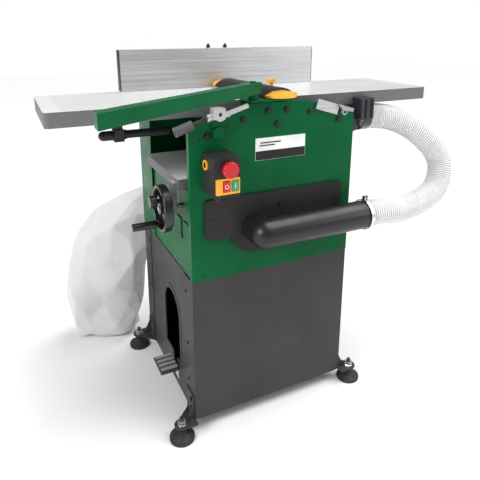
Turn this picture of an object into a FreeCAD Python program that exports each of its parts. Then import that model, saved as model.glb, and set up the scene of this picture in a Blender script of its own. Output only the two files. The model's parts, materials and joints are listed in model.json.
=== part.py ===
import FreeCAD, Part
import math
import os

# Jointer with thicknesser (planer-thicknesser) on a sheet-metal stand, in millimetres.
# X runs along the tables (the feed direction), Y runs away from the operator, Z is up.
# The origin is on the floor, under the middle of the body.

# ---- Driving dimensions ----
BODY_LEN = 516.0          # body and stand along X
BODY_DEPTH = 490.0        # body and stand along Y
SHEET = 2.5               # panel sheet thickness
FOOT_Z = 45.0             # underside of the stand above the floor
STAND_TOP = 496.0         # stand meets the body here
SHOULDER_Z = 929.0        # side panels slope inwards above this height
PANEL_TOP = 979.0         # top edge of the side panels
PANEL_TOP_HALF = 90.0     # half length of that top edge
TABLE_Z = 984.0           # table surface
TABLE_T = 37.5            # table apron height
TABLE_HALF = 587.0        # far end of each table from the cutter axis
TABLE_FRONT = -198.0
TABLE_REAR = 114.0
CUT_R = 36.0              # cutterhead body radius
KNIFE_R = 37.2            # knife tip radius
LIP_CLEARANCE = 43.5      # hollow radius under the table lips
CUT_Z = TABLE_Z - 37.5    # cutterhead axis
LIP_X = 26.0              # table lip from the cutter axis
FENCE_Y = 100.0           # fence working face
FENCE_H = 122.0
FENCE_X = (-342.0, 334.0)
HINGE_Y, HINGE_Z = 263.0, 963.0   # table flip axis
WHEEL_AXIS_Y, WHEEL_AXIS_Z = -165.0, 697.0   # rise handwheel axis
GAP = 0.5                 # working gap between parts that move past each other

XB = BODY_LEN / 2
YB = BODY_DEPTH / 2
V = FreeCAD.Vector
X_AXIS, Y_AXIS, Z_AXIS = V(1, 0, 0), V(0, 1, 0), V(0, 0, 1)


# ---- Helpers ----
def box(x0, x1, y0, y1, z0, z1):
    """Block between two opposite corners."""
    return Part.makeBox(x1 - x0, y1 - y0, z1 - z0, V(x0, y0, z0))


def rod(base, axis, radius, length):
    """Cylinder from base along axis."""
    return Part.makeCylinder(radius, length, V(*base), axis)


def ring(base, axis, outer, inner, length):
    """Tube from base along axis."""
    return rod(base, axis, outer, length).cut(rod(base, axis, inner, length))


def cone(base, axis, r0, r1, length):
    """Cone frustum from base along axis."""
    return Part.makeCone(r0, r1, length, V(*base), axis)


def join(*shapes):
    """Fuse touching shapes into one solid."""
    return shapes[0].fuse(list(shapes[1:])).removeSplitter()


def cut(shape, *tools):
    """Remove the tools from a shape."""
    return shape.cut(list(tools))


def group(shapes):
    """Separate solids that share a node."""
    return Part.makeCompound(shapes)


def prism(points, direction):
    """Extrude a closed polygon given by its corners."""
    corners = [V(*p) for p in points]
    return Part.Face(Part.makePolygon(corners + corners[:1])).extrude(direction)


def plate_y(outline, y, thickness):
    """Plate parallel to XZ, from corner points (x, z)."""
    return prism([(x, y, z) for x, z in outline], V(0, thickness, 0))


def rounded(shape, radius, axis):
    """Round the straight edges that run along an axis."""
    edges = []
    for edge in shape.Edges:
        run = edge.Vertexes[-1].Point - edge.Vertexes[0].Point
        if run.Length > 1 and abs(run.normalize().dot(axis)) > 0.999:
            edges.append(edge)
    return shape.makeFillet(radius, edges)


def sector(centre, direction, shape, angle):
    """Turned copy of a shape about an axis through a centre."""
    copy = shape.copy()
    copy.rotate(V(*centre), direction, angle)
    return copy


def hex_prism(base, axis, across, length):
    """Hexagon bar from base along axis."""
    bar = Part.Face(Part.makePolygon([
        V(across / math.sqrt(3) * math.cos(math.radians(60 * k)),
          across / math.sqrt(3) * math.sin(math.radians(60 * k)), 0) for k in range(7)]))
    bar = bar.extrude(V(0, 0, length))
    bar.Placement = FreeCAD.Placement(V(*base), FreeCAD.Rotation(Z_AXIS, axis))
    return bar


parts = {}

# ---- Stand: two folded side sheets and two end panels ----
FLANGE = 70.0


def stand_side(sign):
    """Side sheet with a flange folded in at each end; sign -1 front, +1 rear."""
    web = box(-XB, XB, min(sign * YB, sign * (YB - SHEET)), max(sign * YB, sign * (YB - SHEET)),
              FOOT_Z, STAND_TOP)
    flanges = []
    for side in (-1, 1):
        x0, x1 = sorted((side * XB, side * (XB - SHEET)))
        y0, y1 = sorted((sign * (YB - SHEET), sign * (YB - FLANGE)))
        flanges.append(box(x0, x1, y0, y1, FOOT_Z, STAND_TOP))
    foot_fold = box(-XB + 3 * SHEET, XB - 3 * SHEET, *sorted((sign * (YB - SHEET), sign * (YB - 25))),
                    FOOT_Z, FOOT_Z + SHEET)
    return join(web, foot_fold, *flanges)


parts["stand_front_sheet"] = stand_side(-1)
parts["stand_rear_sheet"] = stand_side(1)

ARCH_HALF = 71.0          # half width of the pedal opening
ARCH_Z = (150.0, 301.0)   # straight stretch of the opening
ARCH_Y = -41.0            # middle of the opening
PEDAL_Y = -64.0           # middle of the pedal
PANEL_X = XB - SHEET      # end panels sit behind the flanges


def end_panel(sign):
    """Stand end panel with folded edges, behind the side sheets' flanges."""
    x0, x1 = sorted((sign * PANEL_X, sign * (PANEL_X - SHEET)))
    panel = box(x0, x1, -YB + 15, YB - 15, FOOT_Z, STAND_TOP)
    folds = [box(*sorted((sign * (PANEL_X - SHEET), sign * (PANEL_X - 20))), y, y + SHEET,
                 FOOT_Z + SHEET + GAP, STAND_TOP) for y in (-YB + 26, YB - 26 - SHEET)]
    return join(panel, *folds)


def arch_cutter(x0, x1, grow):
    """Arched opening: straight sides under a half round."""
    straight = box(x0, x1, ARCH_Y - ARCH_HALF - grow, ARCH_Y + ARCH_HALF + grow,
                   ARCH_Z[0] - grow, ARCH_Z[1])
    return straight.fuse(rod((x0, ARCH_Y, ARCH_Z[1]), X_AXIS, ARCH_HALF + grow, x1 - x0))


PEDAL_SLOT = box(-XB - 1, -XB + 30, PEDAL_Y - 20, PEDAL_Y + 20, 60, ARCH_Z[0] + 1)
RIM = 14.0
arch_rim = arch_cutter(-PANEL_X - 1.5, -PANEL_X, RIM).cut(arch_cutter(-PANEL_X - 2, -PANEL_X + 1, 0))
parts["stand_left_panel"] = cut(join(end_panel(-1), arch_rim),
                                arch_cutter(-XB - 5, -XB + 30, 0), PEDAL_SLOT)
parts["stand_right_panel"] = end_panel(1)

# ---- Feet ----
FOOT_X, FOOT_Y = 302.0, 245.0
FOOT_R = 37.0
STUD_R = 6.0
BRACKET_HALF = 30.0
SHELF_R = 22.0            # round end of the bracket over each foot
corners = [(sx, sy) for sx in (-1, 1) for sy in (-1, 1)]


def foot_bracket(sx, sy):
    """Angle bracket: one leg on the stand flange, a round-ended leg over the foot."""
    y_mid = sy * (YB - 36)
    y_in, y_out = y_mid - sy * BRACKET_HALF, y_mid + sy * BRACKET_HALF
    y_foot, x_foot = sy * FOOT_Y, sx * FOOT_X
    upright = box(*sorted((sx * XB, sx * (XB + 4))), *sorted((y_in, y_out)), FOOT_Z, FOOT_Z + 75)
    shelf = prism([(sx * XB, y_in, FOOT_Z), (sx * XB, y_foot + sy * SHELF_R, FOOT_Z),
                   (x_foot, y_foot + sy * SHELF_R, FOOT_Z), (x_foot, y_foot - sy * SHELF_R, FOOT_Z)],
                  V(0, 0, 4))
    tip = rod((x_foot, y_foot, FOOT_Z), Z_AXIS, SHELF_R, 4)
    bore = rod((x_foot, y_foot, FOOT_Z - 1), Z_AXIS, STUD_R + 0.05, 10)
    y_rib = y_out - sy * 4
    gusset = prism([(sx * XB, y_rib, FOOT_Z + 4), (sx * (FOOT_X - 16), y_rib, FOOT_Z + 4),
                    (sx * XB, y_rib, FOOT_Z + 60)], V(0, sy * 4, 0))
    return cut(join(upright, shelf, tip, gusset), bore)


def foot(sx, sy):
    """Rubber-covered levelling foot."""
    centre = (sx * FOOT_X, sy * FOOT_Y)
    disc = rod((*centre, 0), Z_AXIS, FOOT_R, 9)
    dome = cone((*centre, 9), Z_AXIS, FOOT_R - 2, 13, 13)
    neck = rod((*centre, 22), Z_AXIS, 13, 10)
    return cut(join(disc, dome, neck), rod((*centre, 14), Z_AXIS, STUD_R, 30))


def foot_stud(sx, sy):
    """Threaded stud of a levelling foot."""
    return rod((sx * FOOT_X, sy * FOOT_Y, 14), Z_AXIS, STUD_R, 58)


def foot_nut(sx, sy, z):
    """Hexagon nut on the stud with a washer under it."""
    centre = (sx * FOOT_X, sy * FOOT_Y)
    nut = join(rod((*centre, z), Z_AXIS, 14, 2), hex_prism((*centre, z + 2), Z_AXIS, 22, 10))
    return cut(nut, rod((*centre, z - 1), Z_AXIS, STUD_R, 20))


parts["foot_brackets"] = group([foot_bracket(*c) for c in corners])
parts["foot_pads"] = group([foot(*c) for c in corners])
parts["foot_studs"] = group([foot_stud(*c) for c in corners])
parts["foot_nuts"] = group([foot_nut(*c, FOOT_Z + 4) for c in corners])

# ---- Transport wheels and foot pedal ----
AXLE_X, AXLE_Z, TRUCK_R = 176.0, 42.0, 36.0
AXLE_HALF = 214.0
parts["wheel_axle"] = rod((AXLE_X, -AXLE_HALF, AXLE_Z), Y_AXIS, 7, 2 * AXLE_HALF)
parts["axle_brackets"] = group([
    cut(join(box(AXLE_X - 18, AXLE_X + 18, *sorted((s * 160, s * 164)), 30, 110),
             box(AXLE_X - 18, AXLE_X + 18, *sorted((s * 160, s * 100)), 106, 110)),
        rod((AXLE_X, -AXLE_HALF, AXLE_Z), Y_AXIS, 7, 2 * AXLE_HALF)) for s in (-1, 1)])


def truck_wheel(y0):
    """Small solid wheel with a hub."""
    tread = rounded_disc(y0)
    return cut(tread, rod((AXLE_X, y0 - 1, AXLE_Z), Y_AXIS, 7.1, 30))


def rounded_disc(y0):
    """Wheel body with rounded rims."""
    disc = rod((AXLE_X, y0, AXLE_Z), Y_AXIS, TRUCK_R, 28)
    return disc.makeFillet(4, [e for e in disc.Edges if isinstance(e.Curve, Part.Circle)])


parts["wheel_front"] = truck_wheel(-AXLE_HALF + 4)
parts["wheel_rear"] = truck_wheel(AXLE_HALF - 32)

# The pedal lever turns on a pin across the stand and carries the lifting wheel.
PEDAL_PIN_X, PEDAL_PIN_Z = -130.0, 112.0
LIFT_X, LIFT_Z, LIFT_R = -196.0, 46.0, 24.0
pedal_arm = join(box(-262, PEDAL_PIN_X, PEDAL_Y - 12, PEDAL_Y + 12, 104, 120),
                 rod((PEDAL_PIN_X, PEDAL_Y - 30, PEDAL_PIN_Z), Y_AXIS, 16, 60),
                 box(-212, LIFT_X, PEDAL_Y - 12, PEDAL_Y + 12, 60, 106),
                 box(-212, -180, PEDAL_Y - 24, PEDAL_Y - 19, 30, 106),
                 box(-212, -180, PEDAL_Y + 19, PEDAL_Y + 24, 30, 106),
                 box(-212, LIFT_X, PEDAL_Y - 24, PEDAL_Y + 24, 98, 106))
parts["pedal_lever"] = cut(pedal_arm, rod((PEDAL_PIN_X, PEDAL_Y - 40, PEDAL_PIN_Z), Y_AXIS, 8.05, 80),
                           rod((LIFT_X, PEDAL_Y - 19, LIFT_Z), Y_AXIS, LIFT_R + 2, 38))
PAD_X, PAD_HALF, PAD_RIB, PAD_PITCH = (-320.0, -261.0), 41.0, 12.0, 20.5
pad = rounded(box(*PAD_X, PEDAL_Y - PAD_HALF, PEDAL_Y + PAD_HALF, 119, 129), 4, Y_AXIS)
for k in range(4):
    y_rib = PEDAL_Y + (k - 1.5) * PAD_PITCH - PAD_RIB / 2
    pad = pad.fuse(box(PAD_X[0] + 5, PAD_X[1] - 2, y_rib, y_rib + PAD_RIB, 129, 133))
pad = pad.fuse(box(-268, -250, PEDAL_Y - 16, PEDAL_Y + 16, 100, 121)).cut(
    box(-262, -249, PEDAL_Y - 12, PEDAL_Y + 12, 104, 120))
parts["pedal_pad"] = pad.removeSplitter()
parts["pedal_pin"] = group([rod((PEDAL_PIN_X, PEDAL_Y - 44, PEDAL_PIN_Z), Y_AXIS, 8, 88)])
PAN_X, PAN_Y, PAN_Z = (-234.0, 136.0), 236.0, (56.0, 60.0)
pan_split = (PEDAL_Y - 46, PEDAL_Y + 46)     # the pan is open between these under the pedal
parts["stand_pan"] = group([box(*PAN_X, -PAN_Y, pan_split[0], *PAN_Z),
                            box(*PAN_X, pan_split[1], PAN_Y, *PAN_Z),
                            box(PEDAL_PIN_X - 30, PAN_X[1], *pan_split, *PAN_Z)])
parts["pedal_brackets"] = group([
    cut(box(PEDAL_PIN_X - 22, PEDAL_PIN_X + 22, *sorted((PEDAL_Y + s * 36, PEDAL_Y + s * 40)), 60, 160),
        rod((PEDAL_PIN_X, PEDAL_Y - 44, PEDAL_PIN_Z), Y_AXIS, 8, 88)) for s in (-1, 1)])
parts["lift_wheel"] = rod((LIFT_X, PEDAL_Y - 15, LIFT_Z), Y_AXIS, LIFT_R, 30).cut(
    rod((LIFT_X, PEDAL_Y - 18, LIFT_Z), Y_AXIS, 5.1, 36))
parts["lift_wheel_pin"] = rod((LIFT_X, PEDAL_Y - 28, LIFT_Z), Y_AXIS, 5, 56)


# ---- Body: side panels, end panels, deck ----
OPEN_Z = 655.0            # top of the fixed end panels, behind the bed's skirts
panel_outline = [(-XB, STAND_TOP), (XB, STAND_TOP), (XB, SHOULDER_Z), (PANEL_TOP_HALF, PANEL_TOP),
                 (-PANEL_TOP_HALF, PANEL_TOP), (-XB, SHOULDER_Z)]
DUCT_X, DUCT_Z = -170.0, 562.0     # outlet duct through the body
FAN_X, FAN_Z = -72.0, 636.0        # suction fan axis
FAN_INLET_R = 38.0


def side_panel(sign, flange):
    """Side panel with its ends folded inwards."""
    y_out = sign * (YB + 2)
    y_in = sign * (YB - SHEET + 2)
    web = plate_y(panel_outline, min(y_out, y_in), abs(y_out - y_in))
    folds = [box(*sorted((s * XB, s * (XB - SHEET))), *sorted((y_in, y_in - sign * flange)),
                 STAND_TOP, SHOULDER_Z - 4) for s in (-1, 1)]
    return join(web, *folds)


front_panel = side_panel(-1, 14)
rear_panel = side_panel(1, 130)
parts["side_panel_front"] = cut(front_panel, rod((FAN_X, -YB - 5, FAN_Z), Y_AXIS, FAN_INLET_R + 4, 20))
parts["side_panel_rear"] = cut(rear_panel, rod((DUCT_X, YB - 10, DUCT_Z), Y_AXIS, 46, 30))


def end_infill(sign):
    """Lower end panel between the side panels' folds, with a slot for the rise shaft."""
    x0, x1 = sorted((sign * (XB - SHEET - GAP), sign * (XB - 2 * SHEET - GAP)))
    return box(x0, x1, -YB + SHEET, YB - 2, STAND_TOP + 4, OPEN_Z)


RISE_SLOT = box(-XB - 2, -XB + 12, WHEEL_AXIS_Y - 9, WHEEL_AXIS_Y + 9, 600, OPEN_Z + 1)
parts["end_panel_left"] = cut(end_infill(-1), RISE_SLOT)
parts["end_panel_right"] = end_infill(1)

COLUMN_X, COLUMN_Y, COLUMN_R = 20.0, -10.0, 46.0
deck = box(-XB + 8, XB - 8, -YB + 4, YB - 4, STAND_TOP, STAND_TOP + 4)
parts["deck_plate"] = cut(
    deck, rod((COLUMN_X, COLUMN_Y, 490), Z_AXIS, COLUMN_R + 1, 20),
    rod((0, WHEEL_AXIS_Y, 490), Z_AXIS, 16, 20), box(-110, 90, 128, 172, 490, 510),
    box(-112, -32, -202, -180, 490, 510))

# Domed bolts on the front panel, and screws on the stand.
PANEL_BOLTS = [(-208, 904), (-105, 939), (-31, 957), (27, 956), (103, 945), (201, 916), (-2, 919)]
y_face = -YB - 2


def bolt_head(x, z, radius):
    """Washer and domed head on the front face."""
    head = rod((x, y_face - 6, z), Y_AXIS, radius * 0.72, 5)
    head = head.makeFillet(2, [e for e in head.Edges if e.CenterOfMass.y < y_face - 5.5])
    return join(rod((x, y_face - 1.5, z), Y_AXIS, radius, 1.5), head)


parts["panel_bolts"] = group([bolt_head(x, z, 9.5) for x, z in PANEL_BOLTS])
STAND_SCREWS = [(s * y, z) for s in (-1, 1) for y, z in ((190, 447), (190, 276), (190, 150))]
parts["stand_screws"] = group([rod((-XB - 3, y, z), X_AXIS, 4.5, 3) for y, z in STAND_SCREWS])
parts["bracket_screws"] = group([rod((x, sy * 220, z), X_AXIS, 7, 5)
                                 for x in (-XB - 9, XB + 4) for sy in (-1, 1) for z in (70, 102)])
parts["rivets"] = group([rod((x, y_face - 1.2, z), Y_AXIS, 3, 1.2)
                         for x, z in ((-149, 922), (-228, 898), (-230, 765), (-226, 512), (226, 512))])

# ---- Cutterhead ----
BEARING_R, JOURNAL_R = 26.0, 15.0
knives = []
body_y0, body_len = TABLE_FRONT + 2, TABLE_REAR - TABLE_FRONT - 4
cutter = join(rod((0, body_y0, CUT_Z), Y_AXIS, CUT_R, body_len),
              rod((0, -YB + 4, CUT_Z), Y_AXIS, JOURNAL_R, 2 * YB - 8))
KNIFE_COUNT = 3
for k in range(KNIFE_COUNT):
    pocket = box(-2, 10, body_y0 - 1, body_y0 + body_len + 1, CUT_Z + CUT_R - 16, CUT_Z + CUT_R + 4)
    knife = join(box(-1.9, 1.1, body_y0 + 2, body_y0 + body_len - 2, CUT_Z + 20.2, CUT_Z + KNIFE_R),
                 box(1.1, 7, body_y0 + 2, body_y0 + body_len - 2, CUT_Z + 20.2, CUT_Z + CUT_R - 4))
    angle = 60 + 360 / KNIFE_COUNT * k
    cutter = cutter.cut(sector((0, 0, CUT_Z), Y_AXIS, pocket, angle))
    knives.append(sector((0, 0, CUT_Z), Y_AXIS, knife, angle))
parts["cutterhead"] = cutter
parts["cutter_knives"] = group(knives)


def bearing_block(y0, y1):
    """Cast block that holds a cutterhead bearing, bolted inside a side panel."""
    block = box(-44, 44, y0, y1, CUT_Z - 38, CUT_Z + 30)
    return cut(rounded(block, 8, Y_AXIS), rod((0, y0 - 1, CUT_Z), Y_AXIS, BEARING_R, y1 - y0 + 2))


BLOCKS = [(-YB + 0.5, -YB + 30), (YB - 44, YB - 14)]
parts["bearing_blocks"] = group([bearing_block(*b) for b in BLOCKS])
parts["cutter_bearings"] = group([ring((0, y0 + 4, CUT_Z), Y_AXIS, BEARING_R, JOURNAL_R + 0.05, 18)
                                  for y0, _ in BLOCKS])

# ---- Belt drive, motor and suction fan ----
MOTOR_X, MOTOR_Z, MOTOR_R = -72.0, 330.0, 72.0
BELT_Y, BELT_W = 142.0, 16.0
FAN_BELT_Y, FAN_BELT_W = -196.0, 10.0
CUT_PULLEY_R, MOTOR_PULLEY_R, FAN_PULLEY_R = 25.0, 40.0, 16.0
BELT_T = 4.0


def pulley(x, z, radius, y0, width, bore):
    """Flanged pulley."""
    body = join(rod((x, y0, z), Y_AXIS, radius, width),
                rod((x, y0 - 3, z), Y_AXIS, radius + 3, 2.5),
                rod((x, y0 + width + 0.5, z), Y_AXIS, radius + 3, 2.5),
                rod((x, y0 - 3, z), Y_AXIS, radius - 1, width + 6))
    return cut(body, rod((x, y0 - 5, z), Y_AXIS, bore, width + 10))


def loop_solid(a, b, ra, rb, y0, width):
    """Solid outline of a belt round two pulleys at a and b, given as (x, z)."""
    dx, dz = b[0] - a[0], b[1] - a[1]
    base = math.atan2(dz, dx)
    lean = math.acos((ra - rb) / math.hypot(dx, dz))
    corners_xz = [(c[0] + r * math.cos(base + s * lean), c[1] + r * math.sin(base + s * lean))
                  for c, r, s in ((a, ra, 1), (b, rb, 1), (b, rb, -1), (a, ra, -1))]
    return join(plate_y(corners_xz, y0, width), rod((a[0], y0, a[1]), Y_AXIS, ra, width),
                rod((b[0], y0, b[1]), Y_AXIS, rb, width))


def belt(a, b, ra, rb, y0, width):
    """Flat loop of belt that clears the pulley faces."""
    inner = loop_solid(a, b, ra + GAP, rb + GAP, y0 - 1, width + 2)
    return loop_solid(a, b, ra + BELT_T, rb + BELT_T, y0, width).cut(inner)


cut_centre, motor_centre, fan_centre = (0, CUT_Z), (MOTOR_X, MOTOR_Z), (FAN_X, FAN_Z)
parts["cutter_pulley"] = pulley(0, CUT_Z, CUT_PULLEY_R, BELT_Y - 1, BELT_W + 2, JOURNAL_R)
parts["cutter_belt"] = belt(motor_centre, cut_centre, MOTOR_PULLEY_R, CUT_PULLEY_R, BELT_Y, BELT_W)
parts["fan_belt"] = belt(motor_centre, fan_centre, FAN_PULLEY_R, FAN_PULLEY_R, FAN_BELT_Y + 2, FAN_BELT_W)
motor_body = rod((MOTOR_X, -110, MOTOR_Z), Y_AXIS, MOTOR_R, 210)
fins = [box(MOTOR_X - MOTOR_R - 6, MOTOR_X + MOTOR_R + 6, y, y + 4, MOTOR_Z - 40, MOTOR_Z + 40)
        for y in range(-90, 80, 14)]
motor_foot = box(MOTOR_X - 60, MOTOR_X + 60, -80, 80, MOTOR_Z + MOTOR_R - 8, MOTOR_Z + MOTOR_R + 12)
motor_hanger = join(box(MOTOR_X - 60, MOTOR_X - 56, -80, 80, MOTOR_Z + MOTOR_R, STAND_TOP),
                    box(MOTOR_X + 56, MOTOR_X + 60, -80, 80, MOTOR_Z + MOTOR_R, STAND_TOP))
motor_bore = rod((MOTOR_X, -130, MOTOR_Z), Y_AXIS, 9.1, 260)
parts["motor"] = cut(join(motor_body, motor_foot, *fins), motor_bore)
parts["motor_hanger"] = cut(motor_hanger, motor_body, motor_foot)
parts["motor_shaft"] = rod((MOTOR_X, -200, MOTOR_Z), Y_AXIS, 9, 370)
parts["motor_pulleys"] = group([pulley(MOTOR_X, MOTOR_Z, MOTOR_PULLEY_R, BELT_Y - 1, BELT_W + 2, 9),
                                pulley(MOTOR_X, MOTOR_Z, FAN_PULLEY_R, FAN_BELT_Y + 1, FAN_BELT_W + 2, 9)])

FAN_R = 74.0
fan_y0, fan_y1 = -YB + 1, -204.0
shell = join(rod((FAN_X, fan_y0, FAN_Z), Y_AXIS, FAN_R, fan_y1 - fan_y0),
             box(FAN_X - FAN_R - 40, FAN_X, fan_y0, fan_y1, FAN_Z - FAN_R - 20, FAN_Z - FAN_R + 40),
             box(DUCT_X - 36, DUCT_X + 36, fan_y1, YB - 1, DUCT_Z - 30, DUCT_Z + 30),
             box(DUCT_X - 36, FAN_X, fan_y0, fan_y1, FAN_Z - FAN_R - 20, FAN_Z - FAN_R + 40),
             rod((DUCT_X, YB - 6, DUCT_Z), Y_AXIS, 45, 50))
hollow = [rod((FAN_X, fan_y0 + 2, FAN_Z), Y_AXIS, FAN_R - 2, fan_y1 - fan_y0 - 4),
          box(DUCT_X - 34, FAN_X, fan_y0 + 2, fan_y1 - 2, FAN_Z - FAN_R - 5, FAN_Z - FAN_R + 38),
          box(DUCT_X - 34, DUCT_X + 34, fan_y1 - 3, YB - 5, DUCT_Z - 28, DUCT_Z + 28),
          rod((FAN_X, fan_y0 - 1, FAN_Z), Y_AXIS, FAN_INLET_R, 10),
          rod((FAN_X, fan_y1 - 4, FAN_Z), Y_AXIS, 10, 10),
          rod((DUCT_X, YB - 6, DUCT_Z), Y_AXIS, 43, 60)]
parts["fan_housing"] = cut(shell, *hollow)
impeller = join(rod((FAN_X, -214, FAN_Z), Y_AXIS, 60, 3), rod((FAN_X, -236, FAN_Z), Y_AXIS, 15, 24))
for k in range(8):
    blade = box(FAN_X + 12, FAN_X + 58, -236, -213, FAN_Z - 1.5, FAN_Z + 1.5)
    impeller = impeller.fuse(sector((FAN_X, 0, FAN_Z), Y_AXIS, blade, 45 * k))
parts["impeller"] = cut(impeller.removeSplitter(), rod((FAN_X, -240, FAN_Z), Y_AXIS, 7, 60))
parts["fan_shaft"] = join(rod((FAN_X, -234, FAN_Z), Y_AXIS, 7, 50),
                          rod((FAN_X, FAN_BELT_Y + 1, FAN_Z), Y_AXIS, FAN_PULLEY_R, FAN_BELT_W + 2))

# ---- Duct cover and inlet elbow on the front panel ----
COVER_X, COVER_Z = 220.0, (617.0, 731.0)
COVER_T = 10.0
ELBOW_Y, ELBOW_Z, ELBOW_R = -316.0, FAN_Z, 41.5
ELBOW_END = 266.0
y_cover = y_face - COVER_T
cover = box(-COVER_X, COVER_X, y_cover, y_face, *COVER_Z)
cover = rounded(cover, 12, Y_AXIS)
boss = rod((FAN_X, y_cover, FAN_Z), Y_AXIS, 76, COVER_T)
cover = join(cover, boss)
cover = cover.cut(rod((FAN_X, y_cover - 2, FAN_Z), Y_AXIS, FAN_INLET_R, 20))
parts["duct_cover"] = cover


def elbow_run(radius):
    """Inlet duct body: stub from the cover, ball corner, run along the panel."""
    stub = rod((FAN_X, ELBOW_Y, FAN_Z), Y_AXIS, radius, y_cover - ELBOW_Y)
    ball = Part.makeSphere(radius, V(FAN_X, ELBOW_Y, FAN_Z))
    run_axis = V(ELBOW_END - FAN_X, 0, ELBOW_Z - FAN_Z)
    run = rod((FAN_X, ELBOW_Y, FAN_Z), run_axis, radius, run_axis.Length)
    return stub.fuse([ball, run])


elbow_shell = elbow_run(ELBOW_R).cut(elbow_run(ELBOW_R - 3))
parts["inlet_duct"] = elbow_shell.cut(box(ELBOW_END, ELBOW_END + 20, -400, -250, 550, 720))
parts["cover_screws"] = group([rod((x, y_cover - 3, z), Y_AXIS, 6, 3)
                               for x, z in ((-203, 672), (10, 690), (208, 678))])

# ---- Hose from the chip hood to the inlet duct ----
HOSE_R = 40.0
HOSE_ROUTE = [(266, -316, 636), (338, -316, 636), (404, -304, 618), (514, -289, 626), (612, -268, 653),
              (646, -238, 747), (575, -217, 826), (493, -194, 880), (400, -182, 903), (350, -182, 903)]


def tangent_tube(route, radius):
    """Tube along straight runs joined by tangent arcs at the inner points."""
    points = [V(*p) for p in route]
    edges = []
    length = 0.0
    last = points[0]
    for before, corner, after in zip(points, points[1:], points[2:]):
        u = (before - corner).normalize()
        w = (after - corner).normalize()
        turn = math.pi - u.getAngle(w)
        reach = 0.45 * min((before - corner).Length, (after - corner).Length)
        arc_r = reach / math.tan(turn / 2)
        a, b = corner + u * reach, corner + w * reach
        middle_dir = (u + w).normalize()
        centre = corner + middle_dir * (arc_r / math.cos(turn / 2))
        middle = centre - middle_dir * arc_r
        edges += [Part.LineSegment(last, a).toShape(), Part.Arc(a, middle, b).toShape()]
        length += (a - last).Length + arc_r * turn
        print("arc radius", round(arc_r, 1), "run", round((corner - before).Length, 1))
        last = b
    edges.append(Part.LineSegment(last, points[-1]).toShape())
    length += (points[-1] - last).Length
    start = points[1] - points[0]
    profile = Part.Wire(Part.makeCircle(radius, points[0], start))
    tube = Part.Wire(edges).makePipeShell([profile], True, True)
    ratio = tube.Volume / (math.pi * radius ** 2 * length)
    print("length", round(length, 1), "volume ratio", round(ratio, 4))
    return tube


parts["dust_hose"] = tangent_tube(HOSE_ROUTE, HOSE_R)


def hose_clamp(centre, axis):
    """Band clamp with a wing screw on top."""
    axis = V(*axis).normalize()
    base = V(*centre) - axis * 6
    band = ring(tuple(base), axis, 45.5, 43.6, 12)
    lug = box(centre[0] - 5, centre[0] + 5, centre[1] - 6, centre[1] + 6, centre[2] + 44.5, centre[2] + 56)
    wing = box(centre[0] - 2, centre[0] + 2, centre[1] - 14, centre[1] - 6, centre[2] + 46, centre[2] + 60)
    return join(band, lug, wing)


# ---- Chip hood under the right table ----
hood_tray = box(-52, XB + 4, -186, 100, 800, 884)
hood_room = box(-48, XB + 1, -182, 96, 803, 881)
hood_mouth = box(-40, 50, -180, 94, 870, 890)
OUTLET_Y, OUTLET_Z = -182.0, 903.0           # axis of the hose spigot
SPIGOT_X = (320.0, 350.0)
front_block = rounded(box(287, 340, -238, -202, 903, 969), 4, Y_AXIS)
chute = prism([(262, -203, 853), (325, -203, 872), (325, -203, 944), (262, -203, 944)], V(0, 63, 0))
bridge_piece = box(287, 325, -220, -190, 905, 944)
spigot = rod((SPIGOT_X[0], OUTLET_Y, OUTLET_Z), X_AXIS, HOSE_R + 1, SPIGOT_X[1] - SPIGOT_X[0])
spigot_bore = rod((SPIGOT_X[0] - 2, OUTLET_Y, OUTLET_Z), X_AXIS, HOSE_R - 1.5, 40)
ribs = [rounded(box(x, x + 7, -243, -236, 908, 964), 2, Z_AXIS) for x in (289, 309, 330)]
chute_room = prism([(257, -199, 860), (320, -199, 876), (320, -199, 940), (257, -199, 940)], V(0, 55, 0))
hood = join(hood_tray, front_block, chute, bridge_piece, spigot, *ribs)
hood = cut(hood, hood_room, hood_mouth, chute_room, spigot_bore)
parts["chip_hood"] = hood
parts["hood_knob"] = join(rod((285, -160, 842), Z_AXIS, 11, 12), rod((285, -160, 850), Z_AXIS, 6, 16))
parts["hose_clamps"] = group([hose_clamp((262, ELBOW_Y, ELBOW_Z), (1, 0, 0))])

# ---- Dust bag at the rear ----
BAG_SECTIONS = [(3, -394, 372, 108, 60), (50, -398, 372, 134, 82), (145, -401, 375, 152, 94),
                (260, -390, 378, 153, 98), (345, -366, 374, 145, 92), (430, -326, 368, 120, 78),
                (500, -276, 358, 90, 62), (580, -194, 346, 56, 42)]


def ellipse_wire(z, x, y, rx, ry):
    """Level ellipse."""
    if rx >= ry:
        curve = Part.Ellipse(V(x + rx, y, z), V(x, y + ry, z), V(x, y, z))
    else:
        curve = Part.Ellipse(V(x, y + ry, z), V(x - rx, y, z), V(x, y, z))
    return Part.Wire(curve.toShape())


bag_body = Part.makeLoft([ellipse_wire(*s) for s in BAG_SECTIONS], True, False)
parts["dust_bag"] = join(bag_body, rod((DUCT_X, YB + 44.3, DUCT_Z), Y_AXIS, 40, 50))
parts["bag_band"] = ring((DUCT_X, YB + 14, DUCT_Z), Y_AXIS, 49, 45, 16)

# ---- Tables ----
WALL = 8.0


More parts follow.
